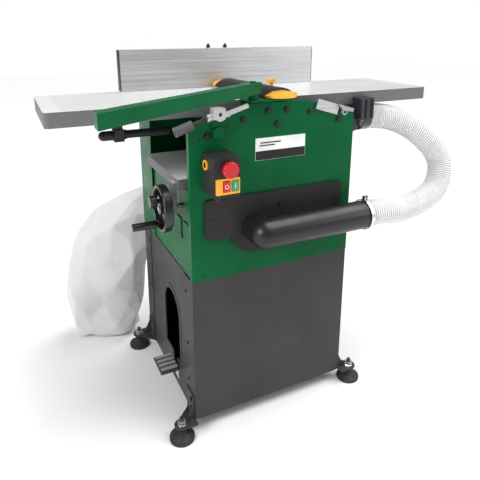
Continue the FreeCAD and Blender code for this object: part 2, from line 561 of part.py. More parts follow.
def table(sign):
    """Cast table: ribbed underside, fine grooves along the top, lip by the cutter."""
    outer = box(*sorted((sign * LIP_X, sign * TABLE_HALF)), TABLE_FRONT, TABLE_REAR,
                TABLE_Z - TABLE_T, TABLE_Z)
    ends = [e for e in outer.Edges if abs(e.CenterOfMass.x - sign * TABLE_HALF) < 1
            and abs(e.CenterOfMass.z - (TABLE_Z - TABLE_T / 2)) < 1]
    outer = outer.makeFillet(12, ends)
    bay_x = (LIP_X + 40, TABLE_HALF - WALL)
    bays = []
    count = 3
    pitch = (bay_x[1] - bay_x[0] + WALL) / count
    for k in range(count):
        x0 = bay_x[0] + k * pitch
        bays.append(box(*sorted((sign * x0, sign * (x0 + pitch - WALL))), TABLE_FRONT + WALL,
                        TABLE_REAR - WALL, TABLE_Z - TABLE_T - 1, TABLE_Z - 9))
    clearance = rod((0, TABLE_FRONT - 1, CUT_Z), Y_AXIS, LIP_CLEARANCE, TABLE_REAR - TABLE_FRONT + 2)
    groove_x = sorted((sign * (LIP_X + 60), sign * (TABLE_HALF - 40)))
    groove_room = [box(*groove_x, y, y + 2, TABLE_Z - 0.6, TABLE_Z + 1) for y in range(-180, 100, 20)]
    return cut(outer, clearance, *bays, *groove_room)


def hinge_arm(sign):
    """Arm from the table's rear edge back to the flip axis, with a knuckle."""
    lugs = []
    for x0 in (180, 226):
        x_low = min(sign * x0, sign * (x0 + 14))
        bar = box(x_low, x_low + 14, TABLE_REAR, HINGE_Y, HINGE_Z - 7, HINGE_Z + 13)
        knuckle = rod((x_low, HINGE_Y, HINGE_Z), X_AXIS, 12, 14)
        lugs.append(bar.fuse(knuckle))
    web = box(*sorted((sign * 180, sign * 240)), TABLE_REAR, TABLE_REAR + 12, TABLE_Z - TABLE_T, HINGE_Z + 13)
    arm = join(web, *lugs)
    return cut(arm, rod((sign * 210 - 60, HINGE_Y, HINGE_Z), X_AXIS, 7.05, 120))


def hinge_bracket(sign):
    """Bracket on the rear panel that carries the hinge pin between the arm's lugs."""
    x_low = min(sign * 197, sign * 223)
    plate = box(x_low, x_low + 26, YB + 2, YB + 8, 880, HINGE_Z + 8)
    ear = box(x_low, x_low + 26, YB + 8, HINGE_Y, HINGE_Z - 8, HINGE_Z + 8)
    nose = rod((x_low, HINGE_Y, HINGE_Z), X_AXIS, 11, 26)
    return cut(join(plate, ear, nose), rod((x_low - 1, HINGE_Y, HINGE_Z), X_AXIS, 7, 30))


for name, sign in (("left", -1), ("right", 1)):
    parts[name + "_table"] = table(sign)
    parts[name + "_hinge_arm"] = hinge_arm(sign)
parts["hinge_brackets"] = group([hinge_bracket(s) for s in (-1, 1)])
parts["hinge_pins"] = group([rod((s * 210 - 33, HINGE_Y, HINGE_Z), X_AXIS, 7, 66) for s in (-1, 1)])

# ---- Table lock bar under the left table ----
LOCK_Y, LOCK_Z = -100.0, 897.0
lock_bar = join(rod((-440, LOCK_Y, LOCK_Z), X_AXIS, 13, 60), Part.makeSphere(13, V(-440, LOCK_Y, LOCK_Z)),
                rod((-380, LOCK_Y, LOCK_Z), X_AXIS, 11, 118))
parts["lock_bar"] = cut(lock_bar, rod((-416, LOCK_Y, LOCK_Z), X_AXIS, 14, 30)).fuse(
    rod((-417, LOCK_Y, LOCK_Z), X_AXIS, 9, 32)).removeSplitter()
lock_hanger = join(box(-414, -388, LOCK_Y - 16, LOCK_Y + 16, LOCK_Z - 16, LOCK_Z + 16),
                   box(-411, -391, LOCK_Y - 12, LOCK_Y + 12, LOCK_Z, TABLE_Z - 9))
parts["lock_hanger"] = cut(lock_hanger, rod((-430, LOCK_Y, LOCK_Z), X_AXIS, 9.05, 60))

# ---- Fence ----
FENCE_T = 30.0
FENCE_Z0 = TABLE_Z + 1.0
TILT_Y, TILT_Z = FENCE_Y + FENCE_T + 10, FENCE_Z0 + 10
fence = box(*FENCE_X, FENCE_Y, FENCE_Y + FENCE_T, FENCE_Z0, FENCE_Z0 + FENCE_H)
groove_pitch = FENCE_H / 8
grooves = [box(FENCE_X[0] - 1, FENCE_X[1] + 1, FENCE_Y - 1, FENCE_Y + 1.5, z, z + 2.2)
           for z in [FENCE_Z0 + groove_pitch * (k + 0.9) for k in range(7)]]
cells = [box(FENCE_X[0] - 1, FENCE_X[1] + 1, FENCE_Y + 4, FENCE_Y + FENCE_T - 3, z, z + groove_pitch - 3)
         for z in [FENCE_Z0 + 3 + groove_pitch * k for k in range(8)]]
parts["fence"] = cut(fence, *grooves, *cells)
LUG_X = (-46.0, 14.0)
parts["fence_lugs"] = group([
    cut(join(box(x, x + 8, FENCE_Y + FENCE_T, FENCE_Y + FENCE_T + 24, TILT_Z, FENCE_Z0 + FENCE_H),
             rod((x, TILT_Y, TILT_Z), X_AXIS, 9.5, 8),
             rod((x + 4, FENCE_Y + FENCE_T + 12, FENCE_Z0 + FENCE_H), Z_AXIS, 3.5, 14)),
        rod((x - 1, TILT_Y, TILT_Z), X_AXIS, 5.05, 12)) for x in LUG_X])
parts["fence_clamp_knobs"] = group([
    ring((x + 4, FENCE_Y + FENCE_T + 12, FENCE_Z0 + FENCE_H + 2), Z_AXIS, 7, 3.5, 6) for x in LUG_X])
base_y = FENCE_Y + FENCE_T + 1
fence_base = join(box(-150, 10, TABLE_REAR, base_y + 50, TABLE_Z - 4, TABLE_Z),
                  box(-150, -60, TABLE_REAR, TABLE_REAR + 5, TABLE_Z - 34, TABLE_Z),
                  box(-34, 10, TILT_Y, base_y + 50, TABLE_Z, TILT_Z + 5),
                  rod((-34, TILT_Y, TILT_Z), X_AXIS, 9, 44),
                  box(-34, 10, TILT_Y - 5, TILT_Y, TABLE_Z, TILT_Z))
parts["fence_base"] = cut(fence_base, rod((-60, TILT_Y, TILT_Z), X_AXIS, 5, 100))
parts["fence_pin"] = rod((-50, TILT_Y, TILT_Z), X_AXIS, 5, 76)

# ---- Cutter guard: swing arm and bridge ----
ARM_PIVOT = (-76.5, -246.0)
ARM_Z, ARM_H, ARM_W, ARM_T = 1004.0, 30.0, 30.0, 2.5
ARM_LEN, ARM_ANGLE = 535.5, 33.0
ARM_TAIL = 22.0           # arm length beyond its pivot
BRIDGE_X, BRIDGE_HALF = 12.0, 48.0
BRIDGE_Y = (-284.0, 94.0)
BRIDGE_Z = 992.0

bracket = join(box(-92, -26, TABLE_FRONT - 7, TABLE_FRONT, 965, 990),
               box(-92, 34, -268, TABLE_FRONT - 1, 984, 990),
               box(-8, 32, -230, -206, 990, 1000))
bracket = join(bracket, rod((*ARM_PIVOT, 990), Z_AXIS, 14, ARM_Z - GAP - 990))
parts["guard_bracket"] = cut(bracket, rod((*ARM_PIVOT, 980), Z_AXIS, 6, 30))
bolt_top = rod((*ARM_PIVOT, ARM_Z + ARM_H + 0.5), Z_AXIS, 9, 3)
bolt_top = bolt_top.makeFillet(1.5, [e for e in bolt_top.Edges if e.CenterOfMass.z > ARM_Z + ARM_H + 3])
parts["guard_pivot_bolt"] = join(rod((*ARM_PIVOT, 984), Z_AXIS, 6, ARM_Z + ARM_H + 1 - 984), bolt_top)


def arm_outline(inset, z):
    """Plan of the arm about its pivot: the open end is cut parallel to Y when the arm is at rest."""
    half = ARM_W / 2 - inset
    skew = half * math.tan(math.radians(ARM_ANGLE))
    end = -ARM_LEN + inset / math.cos(math.radians(ARM_ANGLE))
    tail = ARM_TAIL - inset
    return [(end - skew, -half, z), (tail, -half, z), (tail, half, z), (end + skew, half, z)]


arm = prism(arm_outline(0, ARM_Z), V(0, 0, ARM_H))
arm = arm.makeFillet(3, [e for e in arm.Edges if abs(e.CenterOfMass.z - ARM_Z - ARM_H) < 0.1
                         and e.Length > ARM_W * 2])
arm = arm.cut(prism(arm_outline(ARM_T, ARM_Z - 1), V(0, 0, ARM_H - ARM_T + 1)))
arm = arm.fuse(ring((0, 0, ARM_Z), Z_AXIS, 12, 6.05, ARM_H - ARM_T))
arm = arm.cut(rod((0, 0, ARM_Z - 1), Z_AXIS, 6.05, 60))
arm.rotate(V(0, 0, 0), Z_AXIS, ARM_ANGLE)
arm.translate(V(*ARM_PIVOT, 0))
parts["guard_arm"] = arm.removeSplitter()

BRIDGE_RISE, CAP_RISE = 20.0, 11.0
BRIDGE_TURN = 4.3         # the bridge leans a little off the cutter axis in plan


def bridge_slice(y0, y1, rise, grow):
    """Piece of the bridge: a shallow round crown over a flat underside."""
    crown_r = (BRIDGE_HALF ** 2 + rise ** 2) / (2 * rise)
    crown = rod((BRIDGE_X, y0, BRIDGE_Z + 4 + rise - crown_r), Y_AXIS, crown_r + grow, y1 - y0)
    keep = box(BRIDGE_X - BRIDGE_HALF, BRIDGE_X + BRIDGE_HALF, y0, y1, BRIDGE_Z, BRIDGE_Z + 60)
    return crown.common(keep)


CAP_LEN = 44.0


def bridge_cap(y_joint, side):
    """End cap with a round nose in plan; side is -1 for the near end, +1 for the far end."""
    y_low = min(y_joint, y_joint + side * CAP_LEN)
    nose = ellipse_wire(BRIDGE_Z - 1, BRIDGE_X, y_joint, BRIDGE_HALF, CAP_LEN)
    nose = Part.Face(nose).extrude(V(0, 0, 60))
    return bridge_slice(y_low, y_low + CAP_LEN, CAP_RISE, 1.5).common(nose)


near_joint, far_joint = BRIDGE_Y[0] + CAP_LEN, BRIDGE_Y[1] - CAP_LEN
bridge = bridge_slice(near_joint, far_joint, BRIDGE_RISE, 0)
room = bridge_slice(*BRIDGE_Y, BRIDGE_RISE, -4)
TAB_X, TAB_Y, TAB_TOP = 20.0, -186.0, 1034.0
tab = join(rod((TAB_X, TAB_Y, BRIDGE_Z + 20), Z_AXIS, 5, 16), rod((TAB_X, TAB_Y, TAB_TOP - 9), Z_AXIS, 13, 9))
parts["guard_bridge"] = bridge.cut(room)
parts["guard_caps"] = group([bridge_cap(near_joint, -1), bridge_cap(far_joint, 1), tab.cut(bridge)])
for name in ("guard_bridge", "guard_caps"):
    parts[name].rotate(V(BRIDGE_X, BRIDGE_Y[0], 0), Z_AXIS, BRIDGE_TURN)

# ---- Lock levers on the front panel ----
LEVER_X, LEVER_Z = -182.0, 962.0
lever_y = -262.0
lever_dir = V(-1, 0, -0.32)
clamp = join(box(LEVER_X - 18, LEVER_X + 14, lever_y - 15, lever_y + 9, LEVER_Z - 12, LEVER_Z + 16),
             rod((LEVER_X, lever_y - 15, LEVER_Z), Y_AXIS, 17, 24))
rod_part = rod((LEVER_X - 10, lever_y - 3, LEVER_Z - 3), lever_dir, 6, 64)
neck_part = rod((LEVER_X - 10, lever_y - 3, LEVER_Z - 3), lever_dir, 9.5, 30)
parts["lock_lever"] = cut(join(clamp, rod_part, neck_part), rod((LEVER_X, lever_y - 20, LEVER_Z), Y_AXIS, 5.05, 50))
grip_base = V(LEVER_X - 10, lever_y - 3, LEVER_Z - 3) + lever_dir.normalize() * 64
grip = rod(tuple(grip_base), lever_dir, 12.5, 48)
parts["lever_grip"] = grip.cut(rod(tuple(grip_base + lever_dir * 38), lever_dir, 8, 20))
slope = math.atan2(PANEL_TOP - SHOULDER_Z, XB - PANEL_TOP_HALF)
parts["lever_pin"] = rod((LEVER_X, lever_y - 13, LEVER_Z), Y_AXIS, 5, y_face - lever_y + 10)
scale_bar = box(-46, 28, 0, 5, -6, 6)
scale_bar.rotate(V(0, 0, 0), Y_AXIS, -math.degrees(slope))
scale_bar.translate(V(-118, y_face - 5, 968))
parts["scale_bar"] = join(scale_bar, box(-158, -144, y_face - 5, y_face, 950, 965))
lock_plate = box(-38, 38, 0, 4, -14.5, 14.5)
lock_plate.rotate(V(0, 0, 0), Y_AXIS, math.degrees(slope))
lock_plate.translate(V(159, y_face - 8, 955.5))
parts["right_lock_plate"] = join(lock_plate, box(146, 172, y_face - 5, y_face, 944, 966))
LATCH_X, LATCH_Z = 212.0, 938.0
latch = join(plate_y([(191, 962), (244, 946), (241, 936), (203, 945)], y_face - 17.5, 8),
             rod((LATCH_X, y_face - 17.5, LATCH_Z), Y_AXIS, 9, 8))
parts["right_latch"] = cut(latch, rod((LATCH_X, y_face - 30, LATCH_Z), Y_AXIS, 4.05, 40))
parts["right_latch_pin"] = rod((LATCH_X, y_face - 19, LATCH_Z), Y_AXIS, 4, 19)
parts["lever_mount"] = box(LEVER_X - 13, LEVER_X + 13, y_face - 5, y_face, 926, 974)
parts["catch_boss"] = join(rod((-178, y_face - 10, 912), Y_AXIS, 15, 10),
                           box(-193, -163, y_face - 10, y_face, 897, 922))

# ---- Thicknesser: feed rollers, bed, rise gear ----
ROLLER_X, ROLLER_Z, ROLLER_R = 78.0, 902.0, 16.0


def roller(x):
    """Feed roller with end journals."""
    return join(rod((x, TABLE_FRONT + 4, ROLLER_Z), Y_AXIS, ROLLER_R, TABLE_REAR - TABLE_FRONT - 8),
                rod((x, -YB + 8, ROLLER_Z), Y_AXIS, 9, 2 * YB - 130))


parts["infeed_roller"] = roller(ROLLER_X)
parts["outfeed_roller"] = roller(-ROLLER_X)
parts["roller_blocks"] = group([
    box(s * ROLLER_X - 16, s * ROLLER_X + 16, y, y + 14, ROLLER_Z - 16, ROLLER_Z + 16).cut(
        rod((s * ROLLER_X, y - 1, ROLLER_Z), Y_AXIS, 9.05, 20)) for s in (-1, 1) for y in (-YB + 0.5, 118)])
parts["roller_frame"] = group([
    box(s * ROLLER_X - 16, s * ROLLER_X + 16, 132, 136, 880, 925).fuse(
        box(s * ROLLER_X - 16, s * ROLLER_X + 16, 132, YB - 1, 921, 925)).cut(
        rod((s * ROLLER_X, 130, ROLLER_Z), Y_AXIS, 9.5, 10)).removeSplitter() for s in (-1, 1)])

BED_Z, BED_X, BED_Y = 781.0, 272.0, (-195.0, 108.0)
bed = box(-BED_X, BED_X, *BED_Y, BED_Z - 30, BED_Z)
bed = bed.cut(box(-BED_X + 14, BED_X - 14, BED_Y[0] + 12, BED_Y[1] - 12, BED_Z - 31, BED_Z - 12))
hub = rod((COLUMN_X, COLUMN_Y, 731), Z_AXIS, 70, BED_Z - 5 - 731)
rib_x = box(-BED_X + 30, BED_X - 30, COLUMN_Y - 6, COLUMN_Y + 6, BED_Z - 40, BED_Z - 5)
screw_hub = rod((0, WHEEL_AXIS_Y, 731), Z_AXIS, 18, BED_Z - 5 - 731)
bed_tube = rod((COLUMN_X, COLUMN_Y, 604), Z_AXIS, COLUMN_R - 8.05, 130)
parts["thicknesser_bed"] = cut(join(bed, hub, rib_x, screw_hub, bed_tube),
                               rod((0, WHEEL_AXIS_Y, 700), Z_AXIS, 8.05, 62))
skirt_x = XB - 2 * SHEET - 2 * GAP
skirts = [box(*sorted((s * skirt_x, s * (skirt_x - SHEET))), -YB + 3, BED_Y[1] + 4, OPEN_Z - 50, BED_Z - 30)
          for s in (-1, 1)]
shaft_hole = rod((-XB - 5, WHEEL_AXIS_Y, WHEEL_AXIS_Z), X_AXIS, 9, 40)
parts["bed_skirts"] = group([s.cut(shaft_hole) for s in skirts])
parts["column"] = ring((COLUMN_X, COLUMN_Y, STAND_TOP + 4), Z_AXIS, COLUMN_R, COLUMN_R - 8, 128)
parts["column_flange"] = ring((COLUMN_X, COLUMN_Y, STAND_TOP + 4), Z_AXIS, 80, COLUMN_R, 10)

WHEEL_X, RIM_R = -306.0, 66.0
shaft_block = join(box(-BED_X - 10, -BED_X, WHEEL_AXIS_Y - 17, WHEEL_AXIS_Y + 17,
                       WHEEL_AXIS_Z - 17, BED_Z - 12),
                   rod((-BED_X - 16, WHEEL_AXIS_Y, WHEEL_AXIS_Z), X_AXIS, 16, 16))
parts["shaft_block"] = cut(shaft_block, rod((-340, WHEEL_AXIS_Y, WHEEL_AXIS_Z), X_AXIS, 7.05, 100))
parts["rise_shaft"] = rod((WHEEL_X - 14, WHEEL_AXIS_Y, WHEEL_AXIS_Z), X_AXIS, 7, -WHEEL_X - 9)
rim = ring((WHEEL_X - 14, WHEEL_AXIS_Y, WHEEL_AXIS_Z), X_AXIS, RIM_R, RIM_R - 11, 24)
rim = rim.makeFillet(4.5, [e for e in rim.Edges if isinstance(e.Curve, Part.Circle)])
KNOB_UP = 22.0            # lock knob axis above the wheel axis
wheel_hub = join(rod((WHEEL_X - 12, WHEEL_AXIS_Y, WHEEL_AXIS_Z), X_AXIS, 16, 26),
                 rod((WHEEL_X - 12, WHEEL_AXIS_Y, WHEEL_AXIS_Z + KNOB_UP), X_AXIS, 14, 12),
                 box(WHEEL_X - 12, WHEEL_X, WHEEL_AXIS_Y - 14, WHEEL_AXIS_Y + 14,
                     WHEEL_AXIS_Z, WHEEL_AXIS_Z + KNOB_UP))
spokes = []
for k in range(3):
    spoke = box(WHEEL_X - 4, WHEEL_X + 4, WHEEL_AXIS_Y - 7, WHEEL_AXIS_Y + 7,
                WHEEL_AXIS_Z + 10, WHEEL_AXIS_Z + RIM_R - 6)
    spokes.append(sector((0, WHEEL_AXIS_Y, WHEEL_AXIS_Z), X_AXIS, spoke, 150 + 120 * k))
crank_y, crank_z = WHEEL_AXIS_Y + 22, WHEEL_AXIS_Z - 52
boss = rod((WHEEL_X - 10, crank_y, crank_z), X_AXIS, 11, 18)
parts["handwheel"] = cut(join(wheel_hub, rim, boss, *spokes),
                         rod((WHEEL_X - 30, WHEEL_AXIS_Y, WHEEL_AXIS_Z), X_AXIS, 7, 60),
                         rod((WHEEL_X - 30, crank_y, crank_z), X_AXIS, 5, 60))
parts["crank_spindle"] = rod((WHEEL_X - 78, crank_y, crank_z), X_AXIS, 5, 84)
grip_body = rod((WHEEL_X - 84, crank_y, crank_z), X_AXIS, 11, 68)
grip_body = grip_body.makeFillet(3, [e for e in grip_body.Edges if isinstance(e.Curve, Part.Circle)])
parts["crank_grip"] = grip_body.cut(rod((WHEEL_X - 78, crank_y, crank_z), X_AXIS, 5.1, 90))
knob = rod((WHEEL_X - 38, WHEEL_AXIS_Y, WHEEL_AXIS_Z + KNOB_UP), X_AXIS, 17.5, 19)
flutes = [sector((0, WHEEL_AXIS_Y, WHEEL_AXIS_Z + KNOB_UP), X_AXIS,
                 rod((WHEEL_X - 40, WHEEL_AXIS_Y, WHEEL_AXIS_Z + KNOB_UP + 20.5), X_AXIS, 5, 24), 60 * k)
          for k in range(6)]
knob = knob.makeFillet(3, [e for e in knob.Edges if isinstance(e.Curve, Part.Circle)]).cut(flutes)
parts["wheel_lock_knob"] = join(knob, rod((WHEEL_X - 20, WHEEL_AXIS_Y, WHEEL_AXIS_Z + KNOB_UP), X_AXIS, 6, 8))
GEAR_X = 22.0
parts["shaft_bevel"] = cone((-GEAR_X - 10, WHEEL_AXIS_Y, WHEEL_AXIS_Z), X_AXIS, GEAR_X - 1, 11.5, 10).cut(
    rod((-60, WHEEL_AXIS_Y, WHEEL_AXIS_Z), X_AXIS, 7, 45))
screw_z0, screw_top = 530.0, 760.0
parts["rise_screw"] = rod((0, WHEEL_AXIS_Y, screw_z0), Z_AXIS, 8, screw_top - screw_z0).cut(
    box(-40, -7.5, WHEEL_AXIS_Y - 9, WHEEL_AXIS_Y + 9, WHEEL_AXIS_Z - 9, WHEEL_AXIS_Z + 9))
parts["screw_bevel"] = cone((0, WHEEL_AXIS_Y, WHEEL_AXIS_Z - GEAR_X - 10), Z_AXIS, GEAR_X - 1, 11.5, 10).cut(
    rod((0, WHEEL_AXIS_Y, 600), Z_AXIS, 8, 120))
parts["screw_nut"] = join(ring((0, WHEEL_AXIS_Y, STAND_TOP + 4), Z_AXIS, 30, 16, 6),
                          ring((0, WHEEL_AXIS_Y, STAND_TOP + 10), Z_AXIS, 22, 8.06, 50))

# ---- Switch, label ----
SWITCH_X, SWITCH_Z = (-221.0, -148.0), (757.0, 864.0)
switch_y = -320.0
body = box(*SWITCH_X, switch_y, y_face, *SWITCH_Z)
body = rounded(body, 5, Y_AXIS)
E_X, E_Z = -182.0, 834.0
STOP_X, START_X, BUTTON_Z = -187.0, -163.0, 788.0
BUTTON_HALF_X, BUTTON_HALF_Z = 9.0, 14.0


def button_room(x, room, y0, y1):
    """Block around a push button with a little room on each side."""
    return box(x - BUTTON_HALF_X - room, x + BUTTON_HALF_X + room, y0, y1,
               BUTTON_Z - BUTTON_HALF_Z - room, BUTTON_Z + BUTTON_HALF_Z + room)


body = body.cut([rod((E_X, switch_y - 1, E_Z), Y_AXIS, 11.1, 31),
                 button_room(STOP_X, 0.2, switch_y - 1, switch_y + 8),
                 button_room(START_X, 0.2, switch_y - 1, switch_y + 8)])
parts["switch_box"] = body
plate = rounded(box(-216, -150, switch_y - 2.5, switch_y, 767, 809), 3, Y_AXIS)
parts["switch_plate"] = plate.cut([button_room(STOP_X, 1, switch_y - 5, switch_y + 1),
                                   button_room(START_X, 1, switch_y - 5, switch_y + 1)])
mushroom = join(rod((E_X, switch_y - 12, E_Z), Y_AXIS, 11, 26),
                rod((E_X, switch_y - 24, E_Z), Y_AXIS, 21, 12))
mushroom_rim = [e for e in mushroom.Edges if e.CenterOfMass.y < switch_y - 23]
parts["stop_mushroom"] = mushroom.makeFillet(4, mushroom_rim)
parts["stop_button"] = button_room(STOP_X, 0, switch_y - 5, switch_y + 4)
parts["start_button"] = button_room(START_X, 0, switch_y - 4, switch_y + 4)
parts["socket_ring"] = ring((SWITCH_X[0] - 4, -272, 836), X_AXIS, 13, 8, 4)
parts["cable_gland"] = join(hex_prism((-196, -290, SWITCH_Z[0] - 6), Z_AXIS, 22, 6),
                            rod((-196, -290, SWITCH_Z[0] - 18), Z_AXIS, 8, 12))
LABEL_X, LABEL_Z = (-68.0, 90.0), (822.0, 884.0)
parts["label_plate"] = box(*LABEL_X, y_face - 1.5, y_face, *LABEL_Z)


# ---- Pieces welded, pressed or bolted solid with a neighbour share its node ----
def weld(target, *names):
    """Fuse nodes into one solid."""
    parts[target] = join(parts[target], *(parts.pop(name) for name in names))


def gather(target, *names):
    """Keep separate solids together in one node."""
    members = [solid for name in names for solid in parts.pop(name).Solids]
    parts[target] = group(members)


weld("side_panel_front", "catch_boss", "lever_mount", "lever_pin", "right_latch_pin")
weld("pedal_lever", "lift_wheel_pin")
weld("left_table", "left_hinge_arm", "lock_hanger")
weld("right_table", "right_hinge_arm")
weld("fence_base", "fence_pin")
weld("guard_bracket", "guard_pivot_bolt")
weld("deck_plate", "motor_hanger", "column_flange")
weld("cutterhead", "cutter_pulley")
weld("motor_shaft", "motor_pulleys")
weld("impeller", "fan_shaft")
weld("handwheel", "crank_spindle")
weld("rise_shaft", "shaft_bevel")
weld("rise_screw", "screw_bevel")
weld("thicknesser_bed", "shaft_block")
weld("switch_box", "socket_ring", "cable_gland")
weld("chip_hood", "hood_knob")
gather("foot_studs", "foot_studs", "foot_nuts")
gather("stand_side_sheets", "stand_front_sheet", "stand_rear_sheet")
gather("stand_end_panels", "stand_left_panel", "stand_right_panel")
gather("body_end_panels", "end_panel_left", "end_panel_right")
gather("transport_wheels", "wheel_axle", "wheel_front", "wheel_rear")
gather("axle_brackets", "axle_brackets", "pedal_brackets", "pedal_pin", "stand_pan")
gather("panel_screws", "panel_bolts", "stand_screws", "bracket_screws", "rivets", "cover_screws")
gather("bearing_blocks", "bearing_blocks", "cutter_bearings", "roller_blocks", "roller_frame")
gather("hinge_brackets", "hinge_brackets", "hinge_pins")
gather("hose_clamps", "hose_clamps", "bag_band")
gather("belts", "cutter_belt", "fan_belt")
gather("fence_lugs", "fence_lugs", "fence_clamp_knobs")
gather("lock_scales", "scale_bar", "right_lock_plate")
gather("column", "column", "screw_nut")

os.makedirs("parts", exist_ok=True)
for name, shape in parts.items():
    shape.exportStep("parts/" + name + ".step")
    print(name, len(shape.Solids), "solids", "valid" if shape.isValid() else "INVALID",
          [round(v) for v in (shape.BoundBox.XMin, shape.BoundBox.XMax, shape.BoundBox.YMin,
                              shape.BoundBox.YMax, shape.BoundBox.ZMin, shape.BoundBox.ZMax)])
print(len(parts), "nodes")
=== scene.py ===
import json
import math
import random

import bmesh
import bpy
import numpy as np
from mathutils import Matrix, Vector


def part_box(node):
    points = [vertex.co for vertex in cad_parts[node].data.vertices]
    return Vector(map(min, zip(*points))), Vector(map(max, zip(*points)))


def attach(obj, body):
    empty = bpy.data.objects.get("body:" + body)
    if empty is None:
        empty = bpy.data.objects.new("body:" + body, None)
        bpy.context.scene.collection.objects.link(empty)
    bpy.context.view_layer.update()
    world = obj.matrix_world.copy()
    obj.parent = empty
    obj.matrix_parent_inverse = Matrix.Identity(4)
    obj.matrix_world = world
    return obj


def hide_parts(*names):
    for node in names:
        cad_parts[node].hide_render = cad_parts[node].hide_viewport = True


# Jointer with thicknesser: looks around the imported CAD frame. Metres; X along the tables,
# Y away from the operator, Z up, floor at Z = 0.

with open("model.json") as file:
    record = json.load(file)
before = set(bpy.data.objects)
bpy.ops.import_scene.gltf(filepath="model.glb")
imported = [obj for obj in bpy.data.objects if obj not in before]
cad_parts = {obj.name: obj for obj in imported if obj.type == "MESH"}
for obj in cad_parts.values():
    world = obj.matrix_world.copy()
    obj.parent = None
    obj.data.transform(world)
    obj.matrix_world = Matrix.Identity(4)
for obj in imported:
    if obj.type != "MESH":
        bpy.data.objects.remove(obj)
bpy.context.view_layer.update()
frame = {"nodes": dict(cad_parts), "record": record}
nodes = frame["nodes"]
MM = 0.001


# ---- Mesh helpers ----
def new_object(name, verts, faces, smooth=True):
    """Mesh object from points and faces, in the row frame."""
    mesh = bpy.data.meshes.new(name)
    mesh.from_pydata([tuple(v) for v in verts], [], faces)
    mesh.update()
    obj = bpy.data.objects.new(name, mesh)
    bpy.context.scene.collection.objects.link(obj)
    if smooth:
        mesh.polygons.foreach_set("use_smooth", [True] * len(mesh.polygons))
    return obj


def fix_normals(obj):
    """Point every face outwards."""
    bm = bmesh.new()
    bm.from_mesh(obj.data)
    bmesh.ops.recalc_face_normals(bm, faces=bm.faces)
    bm.to_mesh(obj.data)
    bm.free()
    return obj


def axis_frame(axis):
    """Two unit vectors square to an axis, and the axis."""
    w = Vector(axis).normalized()
    side = Vector((0, 0, 1)) if abs(w.z) < 0.9 else Vector((0, 1, 0))
    u = side.cross(w).normalized()
    return u, w.cross(u), w


def ring(name, centre, axis, profile, steps):
    """Closed ring turned from (radius, height) pairs; the last pair repeats the first."""
    u, v, w = axis_frame(axis)
    c = Vector(centre)
    verts, faces = [], []
    for r, h in profile:
        for k in range(steps):
            a = 2 * math.pi * k / steps
            verts.append(c + w * h + (u * math.cos(a) + v * math.sin(a)) * r)
    for i in range(len(profile) - 1):
        for k in range(steps):
            n = (k + 1) % steps
            faces.append((i * steps + k, i * steps + n, (i + 1) * steps + n, (i + 1) * steps + k))
    return fix_normals(new_object(name, verts, faces, smooth=False))


def slab(name, low, high, bevel):
    """Block with rounded edges between two corners."""
    bm = bmesh.new()
    bmesh.ops.create_cube(bm, size=1.0)
    size = Vector(high) - Vector(low)
    middle = (Vector(high) + Vector(low)) / 2
    fit = Matrix.Translation(middle) @ Matrix.Diagonal((*size, 1))
    bmesh.ops.transform(bm, matrix=fit, verts=bm.verts)
    bmesh.ops.bevel(bm, geom=bm.edges, offset=bevel, segments=2, affect="EDGES", profile=0.5)
    mesh = bpy.data.meshes.new(name)
    bm.to_mesh(mesh)
    bm.free()
    obj = bpy.data.objects.new(name, mesh)
    bpy.context.scene.collection.objects.link(obj)
    return obj


